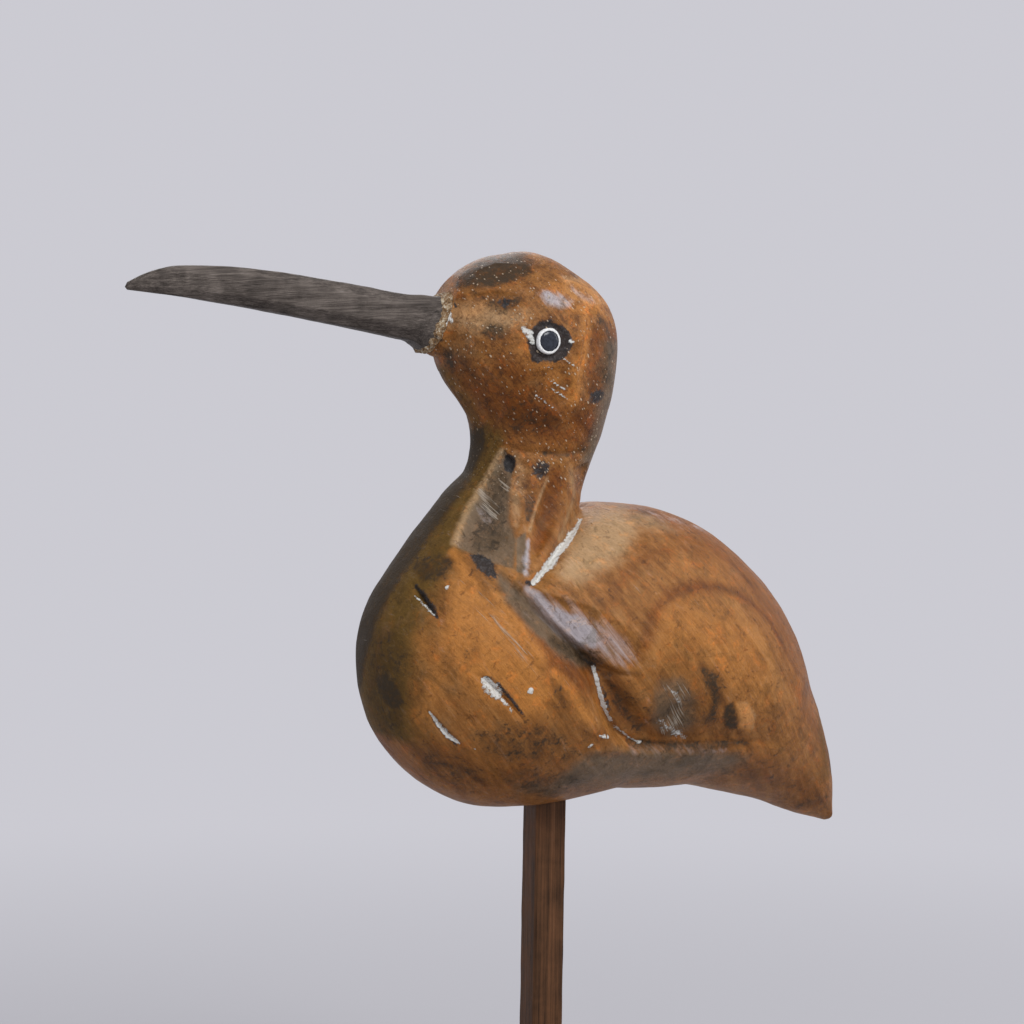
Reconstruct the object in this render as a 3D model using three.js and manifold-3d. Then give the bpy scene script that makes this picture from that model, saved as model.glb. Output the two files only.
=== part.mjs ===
// A folk carving of a long-billed shorebird, on a square stick in a plain wooden block.
// Millimetres, +Z up, the bill points along -X. The origin is under the stick, on the floor.
// The carving is one solid: its form is a signed distance made of a few swept masses and gouge strokes,
// and its skin is found by walking outwards along rays from a line inside it.
import * as THREE from "three";
import { mergeVertices } from "three/addons/utils/BufferGeometryUtils.js";
import Module from "manifold-3d";

// Driving dimensions
const perch = 137; // floor to the carving's lowest point, where the stick enters
const stick = { side: 10, inCarving: 18, inBlock: 16 };
const block = { length: 104, width: 84, height: 22, corner: 7, bevel: 2.5 };
const gap = 0.3; // clearance round a piece set in a socket
const eye = { x: -12.5, z: 136.5, radius: 3.9, dome: 1.2, depth: 3 };
const billRoot = { length: 8, scale: 0.55 }; // the thinner end of the bill, hidden in the face

// Swept masses of the carving, seen from its side: [x, z, radius, half width].
// From here on z starts at the carving's lowest point.
const trunkLine = [
  [-12.5, 42.4, 40.3, 35], // breast
  [2, 44.5, 42.8, 37],
  [17, 47.2, 43, 38], // shoulders
  [31, 45.3, 41.3, 37.5],
  [48.1, 38.3, 33.8, 34],
  [63.2, 26, 24.7, 26],
  [76.5, 15.3, 17.4, 17.8],
  [87.9, 3.5, 9.8, 10.2],
  [96.7, -6.6, 2.5, 3.8], // tail tip
];
const neckLine = [
  [-17.4, 44.2, 40.9, 34], // breast
  [-19.3, 61, 30.2, 27.5],
  [-15.5, 77, 23.5, 22],
  [-11.5, 87, 19.6, 19.2],
  [-9.2, 95, 17.8, 17.6],
  [-7.4, 101.5, 17.8, 17],
  [-5.8, 107, 18.3, 17], // throat
  [-2.9, 114, 17.9, 17.8],
  [-3.5, 120, 19.5, 19],
];
const headLine = [
  [-9, 135.4, 28.1, 23.5], // crown
  [-17.5, 140.7, 20.8, 19.5],
  [-25.5, 141.7, 14.5, 14.5],
  [-32.5, 140.4, 10.2, 10],
  [-39, 140.6, 9.1, 8], // face
];

// Flat knife facets on both sides of the head: the way each faces, and how far it lies from the crown's centre.
const facets = [
  { facing: [-0.725, 0.338, -0.6], reach: 25.6 }, // chin
  { facing: [0.48, 0.224, 0.85], reach: 26.3 }, // back of the crown
];

// The bill's outline, from the slanting joint with the face to its tip:
// [x, z] on top, [x, z] below, half width.
const billLine = [
  [-34.6, 150.2, -41.8, 133, 8.4],
  [-38.6, 149.1, -45, 135.1, 7.4],
  [-43, 149.4, -47, 136.1, 6.7],
  [-49, 149.5, -50, 136.6, 6.3],
  [-61, 151.2, -61, 138.5, 5.9],
  [-79, 153.5, -79, 141.4, 5.4],
  [-97, 155.2, -97, 144.1, 4.7],
  [-109, 155.3, -109, 145.6, 4],
  [-117, 154.8, -117, 146.5, 3.2],
  [-124, 152.8, -124, 147.2, 2.2],
  [-129.7, 149.9, -129.7, 147.7, 1],
];

// Gouge strokes in the carving's sides, the same on both. Each follows a line of [x, z, depth] across
// the side view, and its walls reach this far to the left and right of the way it runs.
// A negative depth is a raised ridge.
const strokes = [
  {
    // hollow between the breast and the wing's leading edge
    line: [[-30, 72, 0.5], [-21, 62.5, 2.4], [-12, 54, 3.2], [-4, 47.5, 3.6], [1, 42, 2]],
    left: 5,
    right: 15,
  },
  {
    // the wing's leading edge
    line: [[-23, 70, -0.4], [-16, 65, -1.6], [-7, 58.5, -2.2], [2, 52, -2], [11, 46, -0.8],
      [17, 42, 0]],
    left: 13,
    right: 5,
  },
  {
    // the wing's lower edge
    line: [[-5, 49, 1], [-2.5, 41, 3.6], [0, 34.5, 4.4], [5, 28, 4.8], [12, 22.8, 4.6],
      [23, 20.6, 3.6], [40, 20.8, 2.6], [56, 20, 1.2], [68, 18, 0]],
    left: 16,
    right: 5,
  },
  {
    // nape
    line: [[9, 89, 1], [1, 83.5, 2], [-6, 78.5, 2.2], [-12, 73.5, 2.2], [-18, 68, 1.8],
      [-22, 66, 0]],
    left: 3.5,
    right: 3.5,
  },
  {
    // front of the neck
    line: [[-21, 99, 0.4], [-25, 90, 1.4], [-28, 80, 1.8], [-30, 72, 0.8]],
    left: 9,
    right: 8,
    round: true,
  },
  {
    // side of the neck
    line: [[-8, 104, 0.2], [-9, 95, 1.2], [-11, 86, 1.4], [-14, 78, 0.4]],
    left: 6,
    right: 6,
    round: true,
  },
];

// The planes that the skin's rings lie in, tail to bill, as lines across the side view:
// [x, z] just past the top outline, then just past the underline.
// Each ring's rays start halfway between the two.
const ringLines = [
  [99, 6, 84, -9],
  [91, 31, 70, -3],
  [82, 52, 57, 1],
  [62, 76, 43, 3],
  [40, 88, 29, 3],
  [22, 91, 14, 0],
  [12, 90.5, -2, -2],
  [11, 90.5, -24, 2],
  [10.5, 90.5, -45, 17],
  [10.3, 91, -59, 42],
  [10, 92, -52, 66],
  [9.7, 94, -38, 84],
  [10, 98, -29, 97],
  [13, 106, -25, 107],
  [17, 116, -26, 113],
  [20, 130, -28, 118],
  [16, 147, -31, 122],
  [3, 160, -34, 126],
  [-14, 166, -36, 129],
  [-28, 161, -38, 131],
  [-37, 152, -41, 133],
];
const rowsPerKnot = 4;
const capRows = 4;
const around = 44;

const smooth = (low, high, v) => THREE.MathUtils.smoothstep(v, low, high);

// A Catmull-Rom curve through rows of up to six numbers, split in even steps between its knots.
function through(rows, steps) {
  const last = rows.length - 1;
  const pairs = [0, 2, 4].map(
    (first) =>
      new THREE.CatmullRomCurve3(
        rows.map((r) => new THREE.Vector3(r[first] ?? 0, r[first + 1] ?? 0, 0)),
        false,
        "catmullrom",
        0.5,
      ),
  );
  return Array.from({ length: last * steps + 1 }, (_, i) => {
    const points = pairs.map((curve) => curve.getPoint(i / (last * steps)));
    return points.flatMap((p) => [p.x, p.y]).slice(0, rows[0].length);
  });
}

const masses = {
  trunk: through(trunkLine, 12),
  neck: through(neckLine, 8),
  head: through(headLine, 10),
};

const cuts = strokes.map(({ line, ...walls }) => ({ path: through(line, 3), ...walls }));

// Distance to the nearest of a row of spheroids, negative inside.
function toMass(row, x, y, z) {
  let nearest = Infinity;
  for (const [cx, cz, r, w] of row) {
    const qx = (x - cx) / r;
    const qy = y / w;
    const qz = (z - cz) / r;
    const k = Math.hypot(qx, qy, qz);
    const slope = Math.max(Math.hypot(qx / r, qy / w, qz / r), 1e-9);
    nearest = Math.min(nearest, (k * (k - 1)) / slope);
  }
  return nearest;
}

// The lower of two distances, rounded where they meet.
function blend(a, b, k) {
  const h = Math.max(k - Math.abs(a - b), 0) / k;
  return Math.min(a, b) - (h * h * k) / 4;
}

// How deep the gouge strokes go at a place of the side view.
function gouged(x, z) {
  let depth = 0;
  for (const { path, left, right, round } of cuts) {
    let nearest = Infinity;
    let here = 0;
    for (let i = 1; i < path.length; i++) {
      const [ax, az, aDepth] = path[i - 1];
      const [bx, bz, bDepth] = path[i];
      const dx = bx - ax;
      const dz = bz - az;
      const share = ((x - ax) * dx + (z - az) * dz) / (dx * dx + dz * dz);
      const along = THREE.MathUtils.clamp(share, 0, 1);
      const reach = dx * (z - az) - dz * (x - ax) > 0 ? left : right;
      const away = Math.hypot(x - ax - dx * along, z - az - dz * along) / reach;
      if (away < nearest) {
        nearest = away;
        here = THREE.MathUtils.lerp(aDepth, bDepth, along);
      }
    }
    const wall = Math.max(1 - nearest, 0);
    depth += here * (round ? smooth(0, 1, wall) : wall * wall);
  }
  return depth;
}

// The head with its knife facets, the same on both sides.
function toHead(x, y, z) {
  const [crownX, crownZ] = headLine[0];
  let d = toMass(masses.head, x, y, z);
  for (const { facing, reach } of facets) {
    const out = facing[0] * (x - crownX) + facing[1] * Math.abs(y) + facing[2] * (z - crownZ);
    d = -blend(-d, reach - out, 3);
  }
  return d;
}

// The carving's signed distance at a point of its own frame.
function field(x, y, z) {
  const neck = blend(toMass(masses.neck, x, y, z), toHead(x, y, z), 7);
  const trunk = toMass(masses.trunk, x, y, z);
  const rear = smooth(-14, 2, x) * smooth(70, 80, z);
  return blend(trunk, neck, THREE.MathUtils.lerp(10, 1.5, rear)) + gouged(x, z);
}

// Walks from the core outwards to the skin.
function hit(origin, direction) {
  let t = 0;
  for (let i = 0; i < 60; i++) {
    const d = field(
      origin.x + direction.x * t,
      direction.y * t,
      origin.z + direction.z * t,
    );
    t -= 0.8 * d;
    if (Math.abs(d) < 1e-3) break;
  }
  return direction.clone().multiplyScalar(t).add(origin);
}

// The skin: a ring of rays for each row, with a fan of rings and a pole at both ends.
function carvingSkin() {
  const lines = through(ringLines, rowsPerKnot);
  const origins = lines.map(
    ([x, z, underX, underZ]) => new THREE.Vector3((x + underX) / 2, 0, (z + underZ) / 2),
  );
  const rayFrom = (i, turn, tilt) => {
    const [x, z] = lines[i];
    const up = new THREE.Vector3(x, 0, z).sub(origins[i]).normalize();
    const ray = new THREE.Vector3(-up.z, 0, up.x).multiplyScalar(Math.sin(tilt)); // towards the bill
    ray.addScaledVector(up, Math.cos(turn) * Math.cos(tilt));
    ray.y = Math.sin(turn) * Math.cos(tilt);
    return hit(origins[i], ray);
  };
  const turns = Array.from({ length: around }, (_, j) => (2 * Math.PI * j) / around);
  const ring = (i, tilt) => turns.map((turn) => rayFrom(i, turn, tilt));
  const tilts = Array.from(
    { length: capRows },
    (_, k) => (0.5 * Math.PI * (k + 1)) / (capRows + 1),
  );
  const end = lines.length - 1;
  const rings = [
    ...[...tilts].reverse().map((tilt) => ring(0, -tilt)),
    ...lines.map((_, i) => ring(i, 0)),
    ...tilts.map((tilt) => ring(end, tilt)),
  ];
  return closedRings(rings, rayFrom(0, 0, -Math.PI / 2), rayFrom(end, 0, Math.PI / 2));
}

// A closed geometry from rings of equal length and a point beyond each end.
function closedRings(rings, first, last) {
  const n = rings[0].length;
  const points = [first, ...rings.flat(), last];
  const index = [];
  const at = (i, j) => 1 + i * n + (j % n);
  for (let j = 0; j < n; j++) {
    index.push(0, at(0, j + 1), at(0, j));
    for (let i = 0; i + 1 < rings.length; i++) {
      index.push(at(i, j), at(i + 1, j + 1), at(i + 1, j));
      index.push(at(i, j), at(i, j + 1), at(i + 1, j + 1));
    }
    index.push(points.length - 1, at(rings.length - 1, j), at(rings.length - 1, j + 1));
  }
  const geometry = new THREE.BufferGeometry().setFromPoints(points);
  geometry.setIndex(index);
  return geometry;
}

// The whittled bill, a loft of rounded oblong sections with a thinner root behind its joint.
const [jointTopX, jointTopZ, jointUnderX, jointUnderZ] = billLine[0];
const joint = new THREE.Vector3(jointTopX + jointUnderX, 0, jointTopZ + jointUnderZ).divideScalar(2);
const jointLean = Math.atan2(jointTopX - jointUnderX, jointTopZ - jointUnderZ);
const intoFace = new THREE.Vector3(Math.cos(jointLean), 0, -Math.sin(jointLean));

function billRing([topX, topZ, underX, underZ, half]) {
  const sides = 16;
  const squareness = 2.6;
  const middle = new THREE.Vector3(topX + underX, 0, topZ + underZ).divideScalar(2);
  const rise = new THREE.Vector3(topX - underX, 0, topZ - underZ).divideScalar(2);
  return Array.from({ length: sides }, (_, j) => {
    const turn = (2 * Math.PI * j) / sides;
    const c = Math.cos(turn);
    const s = Math.sin(turn);
    const reach = (Math.abs(c) ** squareness + Math.abs(s) ** squareness) ** (-1 / squareness);
    const point = middle.clone().addScaledVector(rise, c * reach);
    point.y = s * reach * half;
    return point;
  });
}

// A ring made smaller round the joint's middle and moved into the face.
function shrunk(ring, scale, shift) {
  const middle = joint.clone().addScaledVector(intoFace, shift);
  return ring.map((p) => p.clone().sub(joint).multiplyScalar(scale).add(middle));
}

function billGeometry() {
  const rings = through(billLine, 2).map(billRing);
  const { length, scale } = billRoot;
  const root = [shrunk(rings[0], scale, length), shrunk(rings[0], scale, 0)];
  const tip = new THREE.Vector3(billLine.at(-1)[0] - 0.8, 0, billLine.at(-1)[3] + 0.8);
  return closedRings([...root, ...rings], joint.clone().addScaledVector(intoFace, length), tip);
}

// What is cut from the face: a socket for the bill's root, and all that lies in front of the joint.
function billSocket() {
  const ring = billRing(billLine[0]);
  const { length, scale } = billRoot;
  const wide = scale + gap / billLine[0][4];
  const socket = [length + gap, -1].map((shift) => shrunk(ring, wide, shift));
  const [bottom, mouth] = [length + gap, -1].map((shift) => joint.clone().addScaledVector(intoFace, shift));
  const size = 30;
  const front = new THREE.BoxGeometry(size, size, size);
  front.rotateY(jointLean).translate(joint.x, 0, joint.z);
  front.translate(...intoFace.clone().multiplyScalar(gap - size / 2).toArray());
  return toSolid(closedRings(socket, bottom, mouth)).add(toSolid(front));
}

// Solids for cutting
const wasm = await Module();
wasm.setup();

function toSolid(geometry) {
  const bare = new THREE.BufferGeometry();
  bare.setAttribute("position", geometry.getAttribute("position"));
  if (geometry.index) bare.setIndex(geometry.index);
  const merged = mergeVertices(bare, 1e-4);
  return new wasm.Manifold(
    new wasm.Mesh({
      numProp: 3,
      vertProperties: merged.attributes.position.array,
      triVerts: new Uint32Array(merged.index.array),
    }),
  );
}

function toGeometry(solid) {
  const mesh = solid.getMesh();
  const geometry = new THREE.BufferGeometry();
  geometry.setAttribute("position", new THREE.BufferAttribute(mesh.vertProperties, 3));
  geometry.setIndex(new THREE.BufferAttribute(mesh.triVerts, 1));
  geometry.computeVertexNormals();
  return geometry;
}

// The carving, with the holes that its other pieces sit in
function carvingGeometry() {
  const stickHole = stickGeometry(stick.side + 2 * gap, perch + stick.inCarving + gap);
  stickHole.translate(0, 0, -perch);
  let carving = toSolid(carvingSkin()).subtract(billSocket()).subtract(toSolid(stickHole));
  for (const side of [-1, 1]) {
    const radius = eye.radius + gap;
    const hole = new THREE.CylinderGeometry(radius, radius, 2 * (eye.depth + gap), 24);
    carving = carving.subtract(toSolid(hole.translate(eye.x, side * eyeSeat, eye.z)));
  }
  return toGeometry(carving);
}

// An eye: a bead with a domed face, standing up along +Y from the level of the head's skin
const eyeSeat = hit(new THREE.Vector3(eye.x, 0, eye.z), new THREE.Vector3(0, 1, 0)).y;

function eyeGeometry() {
  const rim = 0.2;
  const dome = Array.from({ length: 5 }, (_, i) => {
    const turn = (0.5 * Math.PI * i) / 4;
    return new THREE.Vector2(eye.radius * Math.cos(turn), rim + (eye.dome - rim) * Math.sin(turn));
  });
  dome.at(-1).x = 0;
  const back = [new THREE.Vector2(0, -eye.depth), new THREE.Vector2(eye.radius, -eye.depth)];
  return new THREE.LatheGeometry([...back, ...dome], 24);
}

function stickGeometry(side, top) {
  const bottom = block.height - stick.inBlock;
  return new THREE.BoxGeometry(side, side, top - bottom).translate(0, 0, (top + bottom) / 2);
}

function blockGeometry() {
  const { length, width, height, corner, bevel } = block;
  const a = length / 2 - bevel;
  const b = width / 2 - bevel;
  const r = corner - bevel;
  const outline = new THREE.Shape()
    .moveTo(r - a, -b)
    .lineTo(a - r, -b)
    .absarc(a - r, r - b, r, -Math.PI / 2, 0)
    .absarc(a - r, b - r, r, 0, Math.PI / 2)
    .absarc(r - a, b - r, r, Math.PI / 2, Math.PI)
    .absarc(r - a, r - b, r, Math.PI, 1.5 * Math.PI);
  const slab = new THREE.ExtrudeGeometry(outline, {
    depth: height - 2 * bevel,
    bevelThickness: bevel,
    bevelSize: bevel,
    bevelSegments: 3,
    curveSegments: 4,
  }).translate(0, 0, bevel);
  const hole = new THREE.BoxGeometry(stick.side + 2 * gap, stick.side + 2 * gap, stick.inBlock + 10);
  hole.translate(0, 0, block.height - stick.inBlock - gap + (stick.inBlock + 10) / 2);
  return toGeometry(toSolid(slab).subtract(toSolid(hole)));
}

function finish(color, roughness) {
  return new THREE.MeshStandardMaterial({ color, roughness, metalness: 0 });
}

function piece(name, geometry, material) {
  const mesh = new THREE.Mesh(geometry, material);
  mesh.name = name;
  return mesh;
}

const waxedWood = finish(0x8a5226, 0.45);
const darkBill = finish(0x453d3a, 0.5);
const darkStick = finish(0x4a2f20, 0.6);
const eyeBead = finish(0x2b2d33, 0.2);

const bird = new THREE.Group();
bird.position.z = perch;
bird.add(piece("carved_bird", carvingGeometry(), waxedWood));
bird.add(piece("bill", billGeometry(), darkBill));
for (const [name, side] of [["eye_left", -1], ["eye_right", 1]]) {
  const bead = piece(name, eyeGeometry(), eyeBead);
  bead.position.set(eye.x, side * eyeSeat, eye.z);
  bead.rotation.x = side < 0 ? Math.PI : 0;
  bird.add(bead);
}

const root = new THREE.Group();
root.add(bird);
root.add(piece("stick", stickGeometry(stick.side, perch + stick.inCarving), darkStick));
root.add(piece("block", blockGeometry(), darkStick));

export default root;
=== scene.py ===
import bmesh
import bpy
import numpy as np
from mathutils import Matrix, Vector, noise
from mathutils.bvhtree import BVHTree

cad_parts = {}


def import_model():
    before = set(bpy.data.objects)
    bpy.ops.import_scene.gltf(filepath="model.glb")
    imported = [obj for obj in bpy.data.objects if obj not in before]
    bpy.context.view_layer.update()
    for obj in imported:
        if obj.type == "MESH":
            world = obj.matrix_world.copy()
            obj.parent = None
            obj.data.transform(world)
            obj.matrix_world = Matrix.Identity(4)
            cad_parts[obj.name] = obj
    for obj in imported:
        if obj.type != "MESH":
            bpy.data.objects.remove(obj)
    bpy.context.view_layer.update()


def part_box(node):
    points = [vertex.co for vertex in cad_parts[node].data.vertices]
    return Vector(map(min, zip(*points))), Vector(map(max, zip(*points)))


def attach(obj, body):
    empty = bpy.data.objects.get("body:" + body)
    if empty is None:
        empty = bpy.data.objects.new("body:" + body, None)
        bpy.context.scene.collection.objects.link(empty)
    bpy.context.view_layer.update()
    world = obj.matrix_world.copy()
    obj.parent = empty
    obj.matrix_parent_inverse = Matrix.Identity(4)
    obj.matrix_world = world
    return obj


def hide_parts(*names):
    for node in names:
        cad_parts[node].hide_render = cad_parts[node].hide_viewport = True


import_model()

MM = 0.001
TINY = 1e-9  # keeps a length that is divided by above zero
PERCH = 137.0  # floor to the belly, where the stick enters
PICTURE = 1024  # pixels along each side of the photograph
LIFT = np.array([0, 0, PERCH])  # from the carving's frame to the part's
LEFT, RIGHT = -1, 1  # the bird's sides, as signs of y
SIDES = (LEFT, RIGHT)


# Camera, at the photograph's angle

AZIMUTH = np.radians(-25)
ELEVATION = np.radians(2)
ROLL = np.radians(1)
DISTANCE = 800.0
PIXEL = 0.295  # millimetres that a pixel spans at the stick
FOCAL = DISTANCE / PIXEL  # in pixels
STICK_PIXEL = (549.8, 806)  # where the stick meets the belly in the photograph
SENSOR = 36  # millimetres


def camera_axes():
    """The camera's right, up and backward directions, and its right before the roll."""
    back = np.array(
        [
            np.sin(AZIMUTH) * np.cos(ELEVATION),
            -np.cos(AZIMUTH) * np.cos(ELEVATION),
            np.sin(ELEVATION),
        ]
    )
    level = np.array([np.cos(AZIMUTH), np.sin(AZIMUTH), 0.0])
    upright = np.cross(back, level)
    right = np.cos(ROLL) * level + np.sin(ROLL) * upright
    up = np.cos(ROLL) * upright - np.sin(ROLL) * level
    return right, up, back, level


ACROSS, UP, BACK, LEVEL = camera_axes()
OFF_X, OFF_Y = (pixel - PICTURE / 2 for pixel in STICK_PIXEL)
TARGET = np.array([0, 0, PERCH + OFF_Y * PIXEL]) - LEVEL * OFF_X * PIXEL
EYE_POINT = TARGET + BACK * DISTANCE


def add_camera():
    """The camera, as the photograph was taken."""
    data = bpy.data.cameras.new("camera")
    data.sensor_width = SENSOR
    data.lens = SENSOR * FOCAL / PICTURE
    data.clip_start = 0.01
    data.clip_end = 50
    camera = linked("camera", data)
    turn = Matrix([ACROSS, UP, BACK]).transposed().to_4x4()
    camera.matrix_world = Matrix.Translation(Vector(EYE_POINT * MM)) @ turn
    bpy.context.scene.camera = camera


# The carving's form, as in the part's source: [x, z, radius, half width] of its swept masses

TRUNK = [
    [-12.5, 42.4, 40.3, 35],
    [2, 44.5, 42.8, 37],
    [17, 47.2, 43, 38],
    [31, 45.3, 41.3, 37.5],
    [48.1, 38.3, 33.8, 34],
    [63.2, 26, 24.7, 26],
    [76.5, 15.3, 17.4, 17.8],
    [87.9, 3.5, 9.8, 10.2],
    [96.7, -6.6, 2.5, 3.8],
]
NECK = [
    [-17.4, 44.2, 40.9, 34],
    [-19.3, 61, 30.2, 27.5],
    [-15.5, 77, 23.5, 22],
    [-11.5, 87, 19.6, 19.2],
    [-9.2, 95, 17.8, 17.6],
    [-7.4, 101.5, 17.8, 17],
    [-5.8, 107, 18.3, 17],
    [-2.9, 114, 17.9, 17.8],
    [-3.5, 120, 19.5, 19],
]
HEAD = [
    [-9, 135.4, 28.1, 23.5],
    [-17.5, 140.7, 20.8, 19.5],
    [-25.5, 141.7, 14.5, 14.5],
    [-32.5, 140.4, 10.2, 10],
    [-39, 140.6, 9.1, 8],
]
FACETS = [  # the way each faces, and how far from the crown's centre it lies
    ([-0.725, 0.338, -0.6], 25.6),  # chin
    ([0.48, 0.224, 0.85], 26.3),  # back of the crown
]

# How widely the masses and facets round into each other where they meet
FACET_ROUNDING = 3
HEAD_ROUNDING = 7
BREAST_ROUNDING = 10
NAPE_ROUNDING = 1.5

# The bill's outline, from its joint to its tip: [x, z] on top, [x, z] below, half width
BILL = [
    [-34.6, 150.2, -41.8, 133, 8.4],
    [-38.6, 149.1, -45, 135.1, 7.4],
    [-43, 149.4, -47, 136.1, 6.7],
    [-49, 149.5, -50, 136.6, 6.3],
    [-61, 151.2, -61, 138.5, 5.9],
    [-79, 153.5, -79, 141.4, 5.4],
    [-97, 155.2, -97, 144.1, 4.7],
    [-109, 155.3, -109, 145.6, 4],
    [-117, 154.8, -117, 146.5, 3.2],
    [-124, 152.8, -124, 147.2, 2.2],
    [-129.7, 149.9, -129.7, 147.7, 1],
]

# Main gouge strokes in both sides of the carving, across its side view:
# (line of [x, z, depth], left wall, right wall, shape)
GOUGES = [
    # hollow between the breast and the wing's leading edge
    ([[-30, 72, 0.5], [-21, 62.5, 2.4], [-12, 54, 3.2], [-4, 47.5, 3.6], [1, 42, 2]], 5, 15, "crease"),
    # the wing's leading edge, raised
    (
        [[-23, 70, -0.4], [-16, 65, -1.6], [-7, 58.5, -2.2], [2, 52, -2], [11, 46, -0.8], [17, 42, 0]],
        13, 5, "crease",
    ),
    # the wing's lower edge
    (
        [
            [-5, 49, 1], [-2.5, 41, 3.6], [0, 34.5, 4.4], [5, 28, 4.8], [12, 22.8, 4.6],
            [23, 20.6, 3.6], [40, 20.8, 2.6], [56, 20, 1.2], [68, 18, 0],
        ],
        16, 5, "crease",
    ),
    # nape
    (
        [[9, 89, 1], [1, 83.5, 2], [-6, 78.5, 2.2], [-12, 73.5, 2.2], [-18, 68, 1.8], [-22, 66, 0]],
        3.5, 3.5, "crease",
    ),
    # front of the neck
    ([[-21, 99, 0.4], [-25, 90, 1.4], [-28, 80, 1.8], [-30, 72, 0.8]], 9, 8, "round"),
    # side of the neck
    ([[-8, 104, 0.2], [-9, 95, 1.2], [-11, 86, 1.4], [-14, 78, 0.4]], 6, 6, "round"),
]


def through(rows, steps):
    """A Catmull-Rom curve through rows of numbers, split in even steps between its knots."""
    rows = np.array(rows, float)
    rows = np.vstack([2 * rows[:1] - rows[1:2], rows, 2 * rows[-1:] - rows[-2:-1]])
    t = np.linspace(0, 1, steps, endpoint=False)[:, None]
    spans = [
        b + 0.5 * (c - a) * t + (a - 2.5 * b + 2 * c - 0.5 * d) * t**2
        + (1.5 * b - 0.5 * a - 1.5 * c + 0.5 * d) * t**3
        for a, b, c, d in zip(rows, rows[1:], rows[2:], rows[3:])
    ]
    return np.vstack([*spans, rows[-2:-1]])


def smooth(low, high, v):
    """0 below low, 1 above high, smooth between them."""
    t = np.clip((v - low) / (high - low), 0, 1)
    return t * t * (3 - 2 * t)


def unit(rows):
    """Rows of numbers, each scaled to length 1."""
    return rows / np.maximum(np.linalg.norm(rows, axis=1, keepdims=True), TINY)


MASSES = {"trunk": through(TRUNK, 12), "neck": through(NECK, 8), "head": through(HEAD, 10)}


def to_mass(rows, p):
    """Distance to the nearest of a row of spheroids, negative inside."""
    x, y, z = p.T
    nearest = np.full(len(p), np.inf)
    for cx, cz, r, w in rows:
        qx, qy, qz = (x - cx) / r, y / w, (z - cz) / r
        k = np.sqrt(qx * qx + qy * qy + qz * qz)
        slope = np.sqrt((qx * qx + qz * qz) / (r * r) + qy * qy / (w * w))
        nearest = np.minimum(nearest, k * (k - 1) / np.maximum(slope, TINY))
    return nearest


def blend(a, b, k):
    """The lower of two distances, rounded where they meet."""
    h = np.maximum(k - np.abs(a - b), 0) / k
    return np.minimum(a, b) - h * h * k / 4


def masses_field(p):
    """The carving's signed distance without its gouge strokes."""
    head = to_mass(MASSES["head"], p)
    from_crown = np.stack([p[:, 0] - HEAD[0][0], np.abs(p[:, 1]), p[:, 2] - HEAD[0][1]])
    for (x, y, z), reach in FACETS:
        out = x * from_crown[0] + y * from_crown[1] + z * from_crown[2]
        head = -blend(-head, reach - out, FACET_ROUNDING)
    neck = blend(to_mass(MASSES["neck"], p), head, HEAD_ROUNDING)
    nape = smooth(-14, 2, p[:, 0]) * smooth(70, 80, p[:, 2])
    rounding = BREAST_ROUNDING + (NAPE_ROUNDING - BREAST_ROUNDING) * nape
    return blend(to_mass(MASSES["trunk"], p), neck, rounding)


PROFILES = {
    "crease": lambda s: (1 - s) ** 2,  # sharp at the bottom, soft at the rims
    "scoop": lambda s: 1 - s * s,  # round at the bottom, crisp at the rims
    "round": lambda s: smooth(0, 1, 1 - s),
}


def gouged(p):
    """How deep the main gouge strokes go at each point, by its place in the side view."""
    depth = np.zeros(len(p))
    x, _, z = p.T
    for line, left, right, shape in GOUGES:
        path = through(line, 3)
        nearest = np.full(len(p), np.inf)
        here = np.zeros(len(p))
        for (ax, az, a_depth), (bx, bz, b_depth) in zip(path, path[1:]):
            dx, dz = bx - ax, bz - az
            along = np.clip(((x - ax) * dx + (z - az) * dz) / (dx * dx + dz * dz), 0, 1)
            reach = np.where(dx * (z - az) - dz * (x - ax) > 0, left, right)
            away = np.hypot(x - ax - dx * along, z - az - dz * along) / reach
            closer = away < nearest
            nearest = np.where(closer, away, nearest)
            here = np.where(closer, a_depth + (b_depth - a_depth) * along, here)
        depth += here * PROFILES[shape](np.minimum(nearest, 1))
    return depth


# The flat face that the bill butts on
JOINT = np.array([(BILL[0][0] + BILL[0][2]) / 2, 0, (BILL[0][1] + BILL[0][3]) / 2])
LEAN = np.arctan2(BILL[0][0] - BILL[0][2], BILL[0][1] - BILL[0][3])
INTO_FACE = np.array([np.cos(LEAN), 0, -np.sin(LEAN)])
GAP = 0.3  # between the bill and the face

EYE = np.array([-12.5, 23.3, 136.5])  # the middle of the right eye on the head's skin
EYE_RADIUS = 3.9
PUPIL_RADIUS = 2.84


# Building meshes


def linked(name, data):
    """A new object of the scene with a mesh, light or camera."""
    thing = bpy.data.objects.new(name, data)
    bpy.context.scene.collection.objects.link(thing)
    return thing


def shown(mesh, material, slot, *nodes):
    """A smooth-shaded piece that rides on the body and stands for the CAD nodes."""
    mesh.shade_smooth()
    mesh.materials.append(material)
    piece = linked(mesh.name, mesh)
    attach(piece, "root")
    if nodes:
        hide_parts(*nodes)
    return piece


def new_piece(name, points, faces, material, slot, *nodes):
    """A piece of points in the carving's frame and faces."""
    mesh = bpy.data.meshes.new(name)
    mesh.from_pydata(((np.asarray(points) + LIFT) * MM).tolist(), [], faces)
    mesh.update()
    return shown(mesh, material, slot, *nodes)


def arrays(mesh):
    """A mesh's points as an array, and its faces as lists."""
    points = np.zeros(len(mesh.vertices) * 3)
    mesh.vertices.foreach_get("co", points)
    return points.reshape(-1, 3), [list(f.vertices) for f in mesh.polygons]


STRIDE = 0.9  # share of its distance to the skin that a point moves at a time


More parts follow.
